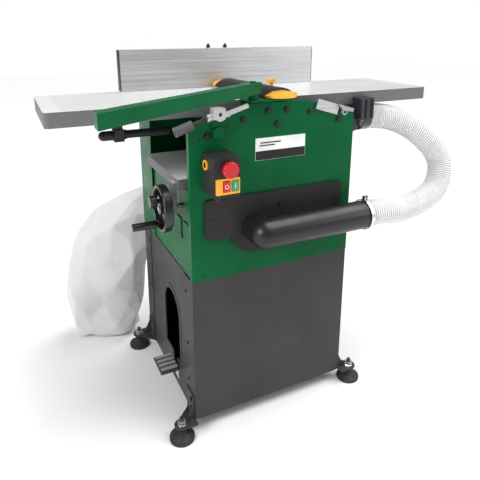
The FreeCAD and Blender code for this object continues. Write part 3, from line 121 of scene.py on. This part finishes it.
# ---- Material helpers ----
class Finish:
    """A Principled material under construction."""

    def __init__(self, name, roughness=0.5, metallic=0.0, **sockets):
        self.mat = bpy.data.materials.new(name)
        self.mat.use_nodes = True
        self.tree = self.mat.node_tree
        self.shader = self.tree.nodes["Principled BSDF"]
        self.shader.inputs["Roughness"].default_value = roughness
        self.shader.inputs["Metallic"].default_value = metallic
        for key, value in sockets.items():
            self.shader.inputs[key.replace("_", " ")].default_value = value
        self.where = self.add("ShaderNodeTexCoord").outputs["Object"]
        self.normal = None

    def add(self, kind, **inputs):
        """Node with its inputs set by name or linked."""
        node = self.tree.nodes.new(kind)
        for key, value in inputs.items():
            self.put(node.inputs[key.replace("_", " ")], value)
        return node

    def put(self, socket, value):
        """Link a socket, or set a constant."""
        if isinstance(value, bpy.types.NodeSocket):
            self.tree.links.new(value, socket)
        else:
            socket.default_value = value

    def stretched(self, scale):
        """Object coordinates scaled per axis."""
        mapping = self.add("ShaderNodeMapping", Vector=self.where)
        mapping.inputs["Scale"].default_value = scale
        return mapping.outputs["Vector"]

    def noise(self, scale, detail=3.0, stretch=(1, 1, 1), rough=0.55, distortion=0.0):
        """Noise value 0..1 over the object."""
        node = self.add("ShaderNodeTexNoise", Vector=self.stretched(stretch), Scale=scale, Detail=detail,
                        Roughness=rough, Distortion=distortion)
        return node.outputs["Fac"]

    def ramp(self, value, low, high, a=0.0, b=1.0):
        """Map low..high of a value to a..b."""
        node = self.add("ShaderNodeMapRange", Value=value, From_Min=low, From_Max=high,
                        To_Min=a, To_Max=b)
        return node.outputs["Result"]

    def blend(self, factor, one, two):
        """Mix two colours."""
        node = self.tree.nodes.new("ShaderNodeMix")
        node.data_type = "RGBA"
        self.put(node.inputs[0], factor)
        for socket, value in ((node.inputs[6], one), (node.inputs[7], two)):
            self.put(socket, value if isinstance(value, bpy.types.NodeSocket) else (*value, 1.0))
        return node.outputs[2]

    def maths(self, operation, a, b=0.0):
        """Scalar maths."""
        node = self.tree.nodes.new("ShaderNodeMath")
        node.operation = operation
        self.put(node.inputs[0], a)
        self.put(node.inputs[1], b)
        return node.outputs[0]

    def above(self, level, axis=2, soft=0.0006):
        """1 where a coordinate is past a level, 0 before it."""
        place = self.add("ShaderNodeSeparateXYZ", Vector=self.where).outputs[axis]
        return self.ramp(place, level - soft, level + soft)

    def facing(self, axis):
        """Component of the surface normal along an axis, 0 x, 1 y, 2 z."""
        normal = self.add("ShaderNodeNewGeometry").outputs["Normal"]
        return self.add("ShaderNodeSeparateXYZ", Vector=normal).outputs[axis]

    def height(self, value, strength, distance):
        """Add a bump layer."""
        node = self.add("ShaderNodeBump", Height=value, Strength=strength, Distance=distance)
        if self.normal is not None:
            self.tree.links.new(self.normal, node.inputs["Normal"])
        self.normal = node.outputs["Normal"]

    def soften(self, radius):
        """Round sharp edges in shading."""
        node = self.tree.nodes.new("ShaderNodeBevel")
        node.samples = 4
        node.inputs["Radius"].default_value = radius
        self.normal = node.outputs["Normal"]

    def done(self, colour, roughness=None):
        """Wire colour, roughness and normal."""
        if isinstance(colour, bpy.types.NodeSocket):
            self.tree.links.new(colour, self.shader.inputs["Base Color"])
        else:
            self.shader.inputs["Base Color"].default_value = (*colour, 1.0)
        if roughness is not None:
            self.tree.links.new(roughness, self.shader.inputs["Roughness"])
        if self.normal is not None:
            self.tree.links.new(self.normal, self.shader.inputs["Normal"])
        return self.mat


def shade(colour, factor):
    """Darker or lighter copy of a colour."""
    return tuple(min(1.0, c * factor) for c in colour)


def powder_coat(name, colour, rough=0.38, shine=0.3):
    """Baked powder paint: orange peel, slight tone drift, rounded edges that catch light."""
    f = Finish(name, Specular_IOR_Level=shine)
    f.soften(0.0014)
    f.height(f.noise(420, 3.0), 0.16, 0.0006)
    f.height(f.noise(60, 2.0), 0.05, 0.0012)
    drift = f.ramp(f.noise(7, 3.0), 0.3, 0.7)
    tone = f.blend(drift, shade(colour, 0.9), shade(colour, 1.12))
    dust = f.ramp(f.noise(30, 5.0, rough=0.7), 0.58, 0.85, 0.0, 0.04)
    tone = f.blend(dust, tone, (0.30, 0.31, 0.30))
    return f.done(tone, f.ramp(f.noise(18, 4.0), 0.3, 0.7, rough - 0.06, rough + 0.08))


def moulded(name, colour, rough=0.45, grain=0.12, coat=0.0, scale=700, shine=0.4):
    """Moulded plastic with a fine grain."""
    f = Finish(name, Coat_Weight=coat, Coat_Roughness=0.08, Specular_IOR_Level=shine)
    f.soften(0.0010)
    f.height(f.noise(scale, 2.0), grain, 0.0004)
    tone = f.blend(f.ramp(f.noise(12, 3.0), 0.3, 0.7), shade(colour, 0.88), shade(colour, 1.15))
    return f.done(tone, f.ramp(f.noise(25, 4.0), 0.3, 0.7, rough - 0.05, rough + 0.08))


def worked_metal(name, colour, rough, stretch, metallic=1.0, depth=0.10):
    """Turned, brushed or drawn metal: streaks along the direction with the least stretch."""
    f = Finish(name, metallic=metallic)
    f.soften(0.0008)
    streak = f.noise(120, 4.0, stretch=stretch, rough=0.7)
    f.height(streak, depth, 0.0005)
    tone = f.blend(f.ramp(streak, 0.3, 0.7), shade(colour, 0.82), shade(colour, 1.1))
    stain = f.ramp(f.noise(9, 4.0), 0.5, 0.8, 0.0, 0.25)
    tone = f.blend(stain, tone, shade(colour, 0.7))
    return f.done(tone, f.ramp(streak, 0.25, 0.75, rough - 0.07, rough + 0.1))


GROOVE_PITCH = 0.0068      # spacing of the planed grooves in the table tops


def table_iron(name, hanger_z=None):
    """Cast iron table: fine machined grooves on top, with painted shade in their bottoms, raw casting on
    the sides; black below hanger_z.
    """
    f = Finish(name, metallic=0.25)
    f.soften(0.0016)
    top = f.ramp(f.facing(2), 0.85, 0.97)
    across = f.add("ShaderNodeSeparateXYZ", Vector=f.where).outputs[1]
    wave = f.maths("SINE", f.maths("MULTIPLY", across, 2 * math.pi / GROOVE_PITCH))
    furrow = f.ramp(wave, 0.35, 1.0)
    streak = f.noise(90, 4.0, stretch=(0.03, 1.0, 1.0), rough=0.7)
    cast = f.noise(260, 5.0, rough=0.7)
    planed = f.maths("ADD", f.maths("MULTIPLY", furrow, -1.0), f.maths("MULTIPLY", streak, 0.35))
    f.height(f.maths("MULTIPLY", planed, top), 0.5, 0.0006)
    f.height(f.maths("MULTIPLY", cast, f.maths("SUBTRACT", 1.0, top)), 0.35, 0.0008)
    ground = f.blend(f.ramp(streak, 0.3, 0.7), (0.84, 0.843, 0.85), (0.98, 0.983, 0.985))
    # Painted shade: the bottoms of the grooves are coloured darker.
    ground = f.blend(f.maths("MULTIPLY", furrow, 0.5), ground, (0.52, 0.52, 0.525))
    side = f.blend(f.ramp(cast, 0.3, 0.7), (0.110, 0.110, 0.114), (0.175, 0.175, 0.181))
    body = f.blend(top, side, ground)
    if hanger_z is not None:
        body = f.blend(f.above(hanger_z), (0.016, 0.016, 0.017), body)
    return f.done(body, f.ramp(top, 0.0, 1.0, 0.5, 0.30))


def cast_iron(name):
    """Machined grey casting."""
    f = Finish(name, metallic=0.4)
    f.soften(0.0014)
    skin = f.noise(220, 5.0, rough=0.7)
    f.height(skin, 0.28, 0.0009)
    tone = f.blend(f.ramp(skin, 0.3, 0.7), (0.27, 0.27, 0.28), (0.42, 0.42, 0.43))
    tone = f.blend(f.ramp(f.noise(11, 4.0), 0.45, 0.8, 0.0, 0.3), tone, (0.17, 0.165, 0.16))
    return f.done(tone, f.ramp(f.noise(40, 4.0), 0.3, 0.7, 0.38, 0.58))


def rubber(name):
    """Matt black rubber with dust in the grain."""
    f = Finish(name)
    f.soften(0.0012)
    f.height(f.noise(500, 3.0), 0.25, 0.0006)
    dust = f.ramp(f.noise(35, 5.0, rough=0.7), 0.5, 0.85, 0.0, 0.22)
    tone = f.blend(dust, (0.018, 0.018, 0.019), (0.16, 0.155, 0.15))
    return f.done(tone, f.ramp(f.noise(60), 0.3, 0.7, 0.55, 0.8))


def hose_film():
    """Milky flexible plastic; painted shade darkens each groove between the ribs."""
    f = Finish("hose_film", 0.3, Transmission_Weight=0.10, IOR=1.2, Subsurface_Weight=0.3)
    f.shader.inputs["Subsurface Radius"].default_value = (0.02, 0.02, 0.02)
    f.shader.inputs["Subsurface Scale"].default_value = 0.5
    rib = f.add("ShaderNodeAttribute")
    rib.attribute_name = "rib"
    haze = f.noise(30, 4.0)
    film = f.blend(f.ramp(haze, 0.3, 0.7), (0.88, 0.885, 0.885), (0.95, 0.955, 0.955))
    # Painted shade: the grooves between the ribs, where the rib value is low, are coloured darker.
    tone = f.blend(f.ramp(rib.outputs["Fac"], 0.0, 0.35, 1.0, 0.0), film, (0.56, 0.57, 0.57))
    f.height(f.noise(150, 3.0), 0.1, 0.0005)
    return f.done(tone, f.ramp(haze, 0.3, 0.7, 0.22, 0.42))


def bag_film():
    """Thin white dust bag film with long soft creases."""
    f = Finish("bag_film", 0.35, IOR=1.3, Subsurface_Weight=0.10, Sheen_Weight=0.15, Sheen_Roughness=0.4)
    f.shader.inputs["Subsurface Radius"].default_value = (0.03, 0.03, 0.03)
    f.shader.inputs["Subsurface Scale"].default_value = 0.5
    broad, fine = f.noise(5, 1.0, distortion=0.5), f.noise(14, 2.0, rough=0.4)
    away = f.maths("ABSOLUTE", f.maths("SUBTRACT", broad, 0.5))
    f.height(f.ramp(away, 0.0, 0.14, 1.0, 0.0), 0.35, 0.010)
    f.height(fine, 0.4, 0.008)
    f.height(f.noise(900, 2.0), 0.06, 0.0003)
    tone = f.blend(f.ramp(f.noise(8, 3.0), 0.3, 0.7), (0.63, 0.63, 0.625), (0.69, 0.69, 0.685))
    return f.done(tone, f.ramp(fine, 0.3, 0.7, 0.22, 0.40))


# Colour, metallic and roughness of the plain finishes that two_tone joins.
PLAIN = {
    "zinc": ((0.70, 0.70, 0.69), 1.0, 0.26),
    "black_steel": ((0.020, 0.020, 0.021), 0.0, 0.38),
    "stand_paint": ((0.045, 0.044, 0.045), 0.0, 0.42),
    "bare_steel": ((0.62, 0.62, 0.60), 0.5, 0.36),
}


def two_tone(name, below, over, level):
    """Two plain finishes that meet at a height."""
    f = Finish(name)
    f.soften(0.0008)
    grain = f.noise(300, 4.0, rough=0.7)
    f.height(grain, 0.15, 0.0005)
    upper = f.above(level)
    low, high = PLAIN[below], PLAIN[over]
    tone = f.blend(upper, low[0], high[0])
    tone = f.blend(f.ramp(grain, 0.4, 0.8, 0.0, 0.3), tone, (0.10, 0.10, 0.10))
    f.put(f.shader.inputs["Metallic"], f.ramp(upper, 0.0, 1.0, low[1], high[1]))
    return f.done(tone, f.ramp(upper, 0.0, 1.0, low[2], high[2]))


def lever_metal(x_split):
    """Die-cast lever head, with its dark rod to the left of x_split."""
    f = Finish("lever_metal", metallic=0.6)
    f.soften(0.0010)
    skin = f.noise(260, 4.0, rough=0.7)
    f.height(skin, 0.2, 0.0006)
    cast = f.blend(f.ramp(skin, 0.3, 0.7), (0.42, 0.42, 0.42), (0.62, 0.62, 0.61))
    return f.done(f.blend(f.above(x_split, 0, 0.001), (0.050, 0.050, 0.052), cast),
                  f.ramp(skin, 0.3, 0.7, 0.34, 0.5))


def hood_plastic():
    """Dark moulded hood, with painted light from the pale floor on the faces that look down."""
    f = Finish("hood_plastic", Coat_Weight=0.1, Coat_Roughness=0.2)
    f.soften(0.0012)
    f.height(f.noise(600, 2.0), 0.12, 0.0004)
    # Painted light: faces that look down are coloured paler, as if lit by the floor below.
    painted_floor_light = f.ramp(f.facing(2), -0.35, -0.8, 0.0, 1.0)
    dark = f.blend(f.ramp(f.noise(12, 3.0), 0.3, 0.7), (0.012, 0.012, 0.018), (0.024, 0.024, 0.032))
    return f.done(f.blend(painted_floor_light, dark, (0.16, 0.16, 0.165)), f.ramp(f.noise(25), 0.3, 0.7, 0.32, 0.45))


# ---- Finishes ----
GREEN = (0.002, 0.098, 0.030)
ANTHRACITE = (0.046, 0.044, 0.046)
finishes = {
    "stand_paint": powder_coat("stand_paint", ANTHRACITE, 0.42, 0.16),
    "green_paint": powder_coat("green_paint", GREEN, 0.27, 0.08),
    "motor_paint": powder_coat("motor_paint", (0.09, 0.09, 0.10), 0.45, 0.1),
    "black_steel": powder_coat("black_steel", (0.022, 0.022, 0.023), 0.35, 0.2),
    "rubber": rubber("rubber"),
    "zinc": worked_metal("zinc", (0.72, 0.72, 0.71), 0.25, (1, 1, 1), depth=0.05),
    "bare_steel": worked_metal("bare_steel", (0.62, 0.62, 0.60), 0.34, (0.05, 1, 1)),
    "machined_steel": worked_metal("machined_steel", (0.55, 0.55, 0.56), 0.28, (1, 0.05, 1)),
    "anodised": worked_metal("anodised", (0.60, 0.61, 0.62), 0.36, (0.02, 1, 1), 0.75, 0.08),
    "alu_plate": worked_metal("alu_plate", (0.56, 0.56, 0.56), 0.33, (0.05, 1, 1), 0.85),
    "alu_cast": worked_metal("alu_cast", (0.40, 0.40, 0.40), 0.4, (1, 1, 1), 0.7, 0.2),
    "cast_grey": cast_iron("cast_grey"),
    "black_plastic": moulded("black_plastic", (0.009, 0.009, 0.011), 0.38, 0.06, 0.04),
    "cover_plastic": moulded("cover_plastic", (0.024, 0.024, 0.023), 0.50, 0.22, scale=420, shine=0.15),
    "switch_plastic": moulded("switch_plastic", (0.026, 0.025, 0.024), 0.42, 0.15, shine=0.2),
    "yellow_plastic": moulded("yellow_plastic", (0.88, 0.40, 0.02), 0.34, 0.05, 0.2),
    "grip_plastic": moulded("grip_plastic", (0.075, 0.075, 0.078), 0.42, 0.2),
    "gloss_black": moulded("gloss_black", (0.010, 0.010, 0.011), 0.30, 0.05, 0.2),
    "red_plastic": moulded("red_plastic", (0.52, 0.006, 0.010), 0.28, 0.03, 0.2),
    "green_button": moulded("green_button", (0.015, 0.30, 0.12), 0.3, 0.03, 0.3),
    "label_white": moulded("label_white", (0.86, 0.86, 0.85), 0.3, 0.02, 0.3),
    "hose_plastic": hose_film(),
    "bag_film": bag_film(),
}
# Levels and places, in metres, where one node changes from one finish to another.
TABLE_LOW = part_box("right_table")[0].z
HANGER_DROP = 0.001        # the left table's black hanger starts this far under the table
STUD_DARK = 0.011          # dark steel at the top of each levelling stud, over zinc
RIB_BARE = 0.0030          # worn steel at the top of each pedal rib
LEVER_ROD_X = -0.215       # right end of the lever's dark rod
by_node = {
    "left_table": table_iron("left_table_iron", TABLE_LOW - HANGER_DROP),
    "right_table": table_iron("right_table_iron"),
    "thicknesser_bed": table_iron("bed_iron"),
    "foot_studs": two_tone("foot_fixings", "zinc", "black_steel",
                           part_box("foot_studs")[1].z - STUD_DARK),
    "pedal_pad": two_tone("pedal_steel", "stand_paint", "bare_steel",
                          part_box("pedal_pad")[1].z - RIB_BARE),
    "chip_hood": hood_plastic(),
    "lock_lever": lever_metal(LEVER_ROD_X),
}
slot_of = {part["node"]: part["material_slot"] for part in frame["record"]["subparts"]}
for name, obj in nodes.items():
    finish = by_node.get(name, finishes[slot_of[name]])
    for k in range(max(1, len(obj.material_slots))):
        if not obj.material_slots:
            obj.data.materials.append(finish)
        obj.material_slots[k].material = finish


def piece(obj, body, slot, *replaced):
    """Finish a new piece: material, body, slot, and the CAD nodes it stands for."""
    if not obj.data.materials:
        obj.data.materials.append(finishes[slot])
    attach(obj, body)
    if replaced:
        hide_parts(*replaced)
    return obj


# ---- Camera ----
camera = bpy.data.objects.new("camera", bpy.data.cameras.new("camera"))
bpy.context.scene.collection.objects.link(camera)
camera.location = (-0.6578, -1.3740, 1.1721)
camera.rotation_euler = (math.radians(74.72), 0.0, math.radians(-25.77))
camera.data.lens = 36.43
camera.data.sensor_width = 36.0
camera.data.shift_y = -0.1667
camera.data.clip_end = 60.0
bpy.context.scene.camera = camera

# ---- Dust hose: fixed length of spiral tube from the chip hood to the inlet duct ----
HOSE_ROUTE = [(266, -316, 636), (338, -316, 636), (404, -304, 618), (514, -289, 626), (612, -268, 653),
              (646, -238, 747), (575, -217, 826), (493, -194, 880), (400, -182, 903), (350, -182, 903)]
HOSE_R, HOSE_WALL, RIB_PITCH = 0.0398, 0.0026, 0.0080


def route_curve(name, route):
    """Open NURBS spline with the route's points as control points."""
    curve = bpy.data.curves.new(name, "CURVE")
    curve.dimensions = "3D"
    curve.resolution_u = 24
    spline = curve.splines.new("NURBS")
    spline.points.add(len(route) - 1)
    for point, place in zip(spline.points, route):
        point.co = (*(c * MM for c in place), 1.0)
    spline.order_u = 3
    spline.use_endpoint_u = True
    obj = bpy.data.objects.new(name, curve)
    bpy.context.scene.collection.objects.link(obj)
    return obj


def spline_points(obj):
    """Points along an unbevelled curve."""
    mesh = bpy.data.meshes.new_from_object(obj)
    points = [v.co.copy() for v in mesh.vertices]
    bpy.data.meshes.remove(mesh)
    return points


def resample(points, step):
    """Evenly spaced points along a line, with distances from its start."""
    places = np.array(points, float)
    runs = np.linalg.norm(np.diff(places, axis=0), axis=1)
    along = np.concatenate([[0], np.cumsum(runs)])
    count = int(round(along[-1] / step))
    marks = np.linspace(0, along[-1], count + 1)
    even = np.stack([np.interp(marks, along, places[:, k]) for k in range(3)], axis=1)
    return even, marks


line = route_curve("hose_line", HOSE_ROUTE)
hose_line = spline_points(line)
bpy.data.objects.remove(line)
centres, marks = resample(hose_line, RIB_PITCH / 8)


def spiral_tube(name, centres, marks, radius, wall, pitch, around=44):
    """Tube whose radius rises to a round rib once per pitch along a helix."""
    verts, faces, rib = [], [], []
    tangent = np.gradient(centres, axis=0)
    tangent /= np.linalg.norm(tangent, axis=1)[:, None]
    up = Vector((0, 1, 0))
    for c, t, s in zip(centres, tangent, marks):
        t = Vector(t)
        up = (up - t * up.dot(t)).normalized()
        side = t.cross(up)
        for k in range(around):
            a = 2 * math.pi * k / around
            phase = (s / pitch - k / around) % 1.0
            crest = max(0.0, math.cos(2 * math.pi * (phase - 0.5))) ** 0.7
            outward = up * math.cos(a) + side * math.sin(a)
            verts.append(Vector(c) + outward * (radius - wall * (1 - crest)))
            rib.append(crest)
    rows = len(centres)
    for i in range(rows - 1):
        for k in range(around):
            n = (k + 1) % around
            faces.append((i * around + k, i * around + n, (i + 1) * around + n, (i + 1) * around + k))
    obj = new_object(name, verts, faces)
    layer = obj.data.attributes.new("rib", "FLOAT", "POINT")
    layer.data.foreach_set("value", rib)
    return obj


hose = fix_normals(spiral_tube("dust_hose_spiral", centres, marks, HOSE_R, HOSE_WALL, RIB_PITCH))
piece(hose, "frame", "hose_plastic", "dust_hose")

# ---- Dust bag: crumpled film on the outlet spigot ----
# Sections: centre, direction of travel, half widths across and in depth, millimetres.
BAG = [((-170, 262, 562), (0, 1, 0), 45.5, 45.5),
       ((-170, 284, 562), (-0.1, 1, -0.05), 47, 46),
       ((-180, 306, 556), (-0.5, 0.8, -0.35), 56, 50),
       ((-212, 328, 532), (-0.7, 0.35, -0.65), 78, 58),
       ((-268, 346, 492), (-0.7, 0.15, -0.75), 106, 72),
       ((-322, 360, 430), (-0.55, 0.1, -0.86), 128, 84),
       ((-362, 370, 356), (-0.38, 0.05, -0.95), 146, 92),
       ((-388, 376, 272), (-0.2, 0, -0.99), 154, 96),
       ((-400, 377, 186), (-0.05, 0, -1), 153, 94),
       ((-402, 375, 108), (0.05, 0, -1), 146, 84),
       ((-398, 373, 50), (0.08, 0, -1), 130, 72),
       ((-394, 372, 16), (0, 0, -1), 104, 56),
       ((-392, 372, 7), (0, 0, -1), 66, 34),
       ((-392, 372, 6), (0, 0, -1), 20, 11)]
BAG_FOLD = 17.0            # how far the loose film strays from the filled shape, millimetres
CREASES = (0.0, 0.5, 0.85, 0.95)     # how sharply the film folds along an edge, drawn at random


def bag_mesh(name, rows, around, seed):
    """Bag skin swept through its sections, with uneven folds."""
    rng = random.Random(seed)
    table = np.array([[*c, *d, a, b] for c, d, a, b in BAG], float)
    knots = np.arange(len(BAG))
    marks = np.linspace(0, len(BAG) - 1, rows)
    verts = []
    for i, s in enumerate(marks):
        row = [np.interp(s, knots, table[:, k]) for k in range(8)]
        centre, w = Vector(row[:3]), Vector(row[3:6]).normalized()
        # The flat sides of the bag face mostly along Y.
        depth = Vector((0.35, 1, 0.0))
        depth = (depth - w * depth.dot(w)).normalized() if abs(w.y) < 0.9 else Vector((0, 0, 1))
        width = w.cross(depth)
        # Tight on the spigot, loose down the body, tighter again at the bottom.
        past_spigot, to_bottom = s - 1.2, len(BAG) - 1.5 - s
        loose = min(1.0, max(0.0, past_spigot / 3.0)) * min(1.0, max(0.15, to_bottom / 2.0))
        for k in range(around):
            a = 2 * math.pi * (k + 0.5 * (i % 2)) / around
            place = centre + width * (row[6] * math.cos(a)) + depth * (row[7] * math.sin(a))
            if i and loose:
                jitter = Vector([rng.uniform(-1, 1) for _ in range(3)])
                place += jitter * (BAG_FOLD * loose)
            verts.append(place * MM)
    faces = []
    for i in range(rows - 1):
        for k in range(around):
            n = (k + 1) % around
            a, b, c, d = i * around + k, i * around + n, (i + 1) * around + n, (i + 1) * around + k
            if i % 2:
                faces += [(a, b, c), (a, c, d)]
            else:
                faces += [(a, b, d), (b, c, d)]
    faces.append(tuple(range((rows - 1) * around, rows * around)))
    return fix_normals(new_object(name, verts, faces))


def apply_all(obj):
    """Bake every modifier into the mesh."""
    graph = bpy.context.evaluated_depsgraph_get()
    mesh = bpy.data.meshes.new_from_object(obj.evaluated_get(graph))
    old = obj.data
    obj.modifiers.clear()
    obj.data = mesh
    bpy.data.meshes.remove(old)
    obj.data.polygons.foreach_set("use_smooth", [True] * len(obj.data.polygons))


bag = bag_mesh("dust_bag_film", rows=12, around=10, seed=7)
rng = random.Random(3)
layer = bag.data.attributes.new("crease_edge", "FLOAT", "EDGE")
layer.data.foreach_set("value", [rng.choice(CREASES) for _ in bag.data.edges])
smoothing = bag.modifiers.new("smoothing", "SUBSURF")
smoothing.levels = smoothing.render_levels = 4
apply_all(bag)
piece(bag, "frame", "bag_film", "dust_bag")

# ---- Small pieces on the controls ----
low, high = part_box("stop_button")
middle = (low + high) / 2
zero = ring("mark_zero", (middle.x, low.y - 0.0001, middle.z), (0, -1, 0),
            [(0.0040, 0.0), (0.0056, 0.0), (0.0056, 0.0006), (0.0040, 0.0006), (0.0040, 0.0)], 32)
piece(zero, "stop_button", "label_white")
low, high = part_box("start_button")
middle = (low + high) / 2
one = slab("mark_one", (middle.x - 0.0009, low.y - 0.0007, middle.z - 0.006),
           (middle.x + 0.0009, low.y, middle.z + 0.006), 0.0002)
piece(one, "start_button", "label_white")

# Plain label: a dark strip below, and two bars where lettering would be.
low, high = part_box("label_plate")
STRIP_PART, STRIP_EDGE = 0.42, 0.0006       # part of the label's height, and its margin
strip = slab("label_strip", (low.x + STRIP_EDGE, low.y - 0.0003, low.z + STRIP_EDGE),
             (high.x - STRIP_EDGE, low.y + 0.0005, low.z + STRIP_PART * (high.z - low.z)), 0.0002)
piece(strip, "frame", "cover_plastic")
BARS = ((0.0, 0.36, 0.66), (0.02, 0.50, 0.78))      # start, end and level, as parts of the label
BAR_INSET = 0.012
for k, (start, end, level) in enumerate(BARS):
    z = low.z + level * (high.z - low.z)
    x0 = low.x + BAR_INSET
    span = high.x - low.x - 2 * BAR_INSET
    bar = slab("label_bar_%d" % k, (x0 + start * span, low.y - 0.0003, z - 0.0018),
               (x0 + end * span, low.y + 0.0004, z + 0.0018), 0.0002)
    piece(bar, "frame", "gloss_black")

# Yellow surround of the key socket on the side of the switch box.
SOCKET_Y, SOCKET_Z = -0.272, 0.836
socket = ring("socket_ring", (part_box("switch_box")[0].x, SOCKET_Y, SOCKET_Z), (1, 0, 0),
              [(0.0082, -0.0004), (0.0132, -0.0004), (0.0134, 0.0002),
               (0.0134, 0.0040), (0.0082, 0.0040), (0.0082, -0.0004)], 40)
piece(socket, "frame", "yellow_plastic")

# Black moulded caps on the two ends of the fence extrusion.
CAP_THICK = 0.0022
low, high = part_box("fence")
for end, x0, x1 in (("left", low.x - CAP_THICK, low.x), ("right", high.x, high.x + CAP_THICK)):
    cap = slab("fence_end_" + end, (x0, low.y - 0.0004, low.z), (x1, high.y, high.z), 0.0006)
    piece(cap, "fence", "black_plastic")

# ---- Stage ----
FLOOR_HALF = 12.0
corners = [(x * FLOOR_HALF, y * FLOOR_HALF, 0) for x, y in ((-1, -1), (1, -1), (1, 1), (-1, 1))]
floor = new_object("floor", corners, [(0, 1, 2, 3)], smooth=False)
floor_finish = Finish("floor_pale", 0.7)
floor.data.materials.append(floor_finish.done((0.93, 0.93, 0.935)))


def area_light(name, place, target, size, power):
    """Soft square light aimed at a point."""
    data = bpy.data.lights.new(name, "AREA")
    data.energy = power
    data.size = size
    obj = bpy.data.objects.new(name, data)
    obj.location = place
    obj.rotation_euler = (Vector(target) - Vector(place)).to_track_quat("-Z", "Y").to_euler()
    bpy.context.scene.collection.objects.link(obj)


area_light("key", (-3.2, -1.2, 2.6), target=(0, 0, 0.8), size=1.6, power=105)
area_light("side", (3.0, -2.6, 2.0), target=(0, 0, 0.6), size=1.6, power=36)
# A wide sun from the upper right, which lays the soft shadow to the left.
sky = bpy.data.objects.new("sky", bpy.data.lights.new("sky", "SUN"))
sky.data.energy = 2.85
sky.data.angle = math.radians(50)
sky.rotation_euler = (math.radians(6), math.radians(27), 0)
bpy.context.scene.collection.objects.link(sky)

# The backdrop shows white, and lights the object with a dimmer, softer dome.
world = bpy.data.worlds.new("world")
world.use_nodes = True
tree = world.node_tree
tree.nodes["Background"].inputs["Color"].default_value = (1.0, 1.0, 1.0, 1.0)
dome = tree.nodes.new("ShaderNodeMapRange")
dome.inputs["To Min"].default_value = 0.30
dome.inputs["To Max"].default_value = 1.0
tree.links.new(tree.nodes.new("ShaderNodeLightPath").outputs["Is Camera Ray"], dome.inputs["Value"])
tree.links.new(dome.outputs["Result"], tree.nodes["Background"].inputs["Strength"])
bpy.context.scene.world = world
bpy.context.scene.view_settings.view_transform = "Standard"
bpy.context.scene.view_settings.look = "None"
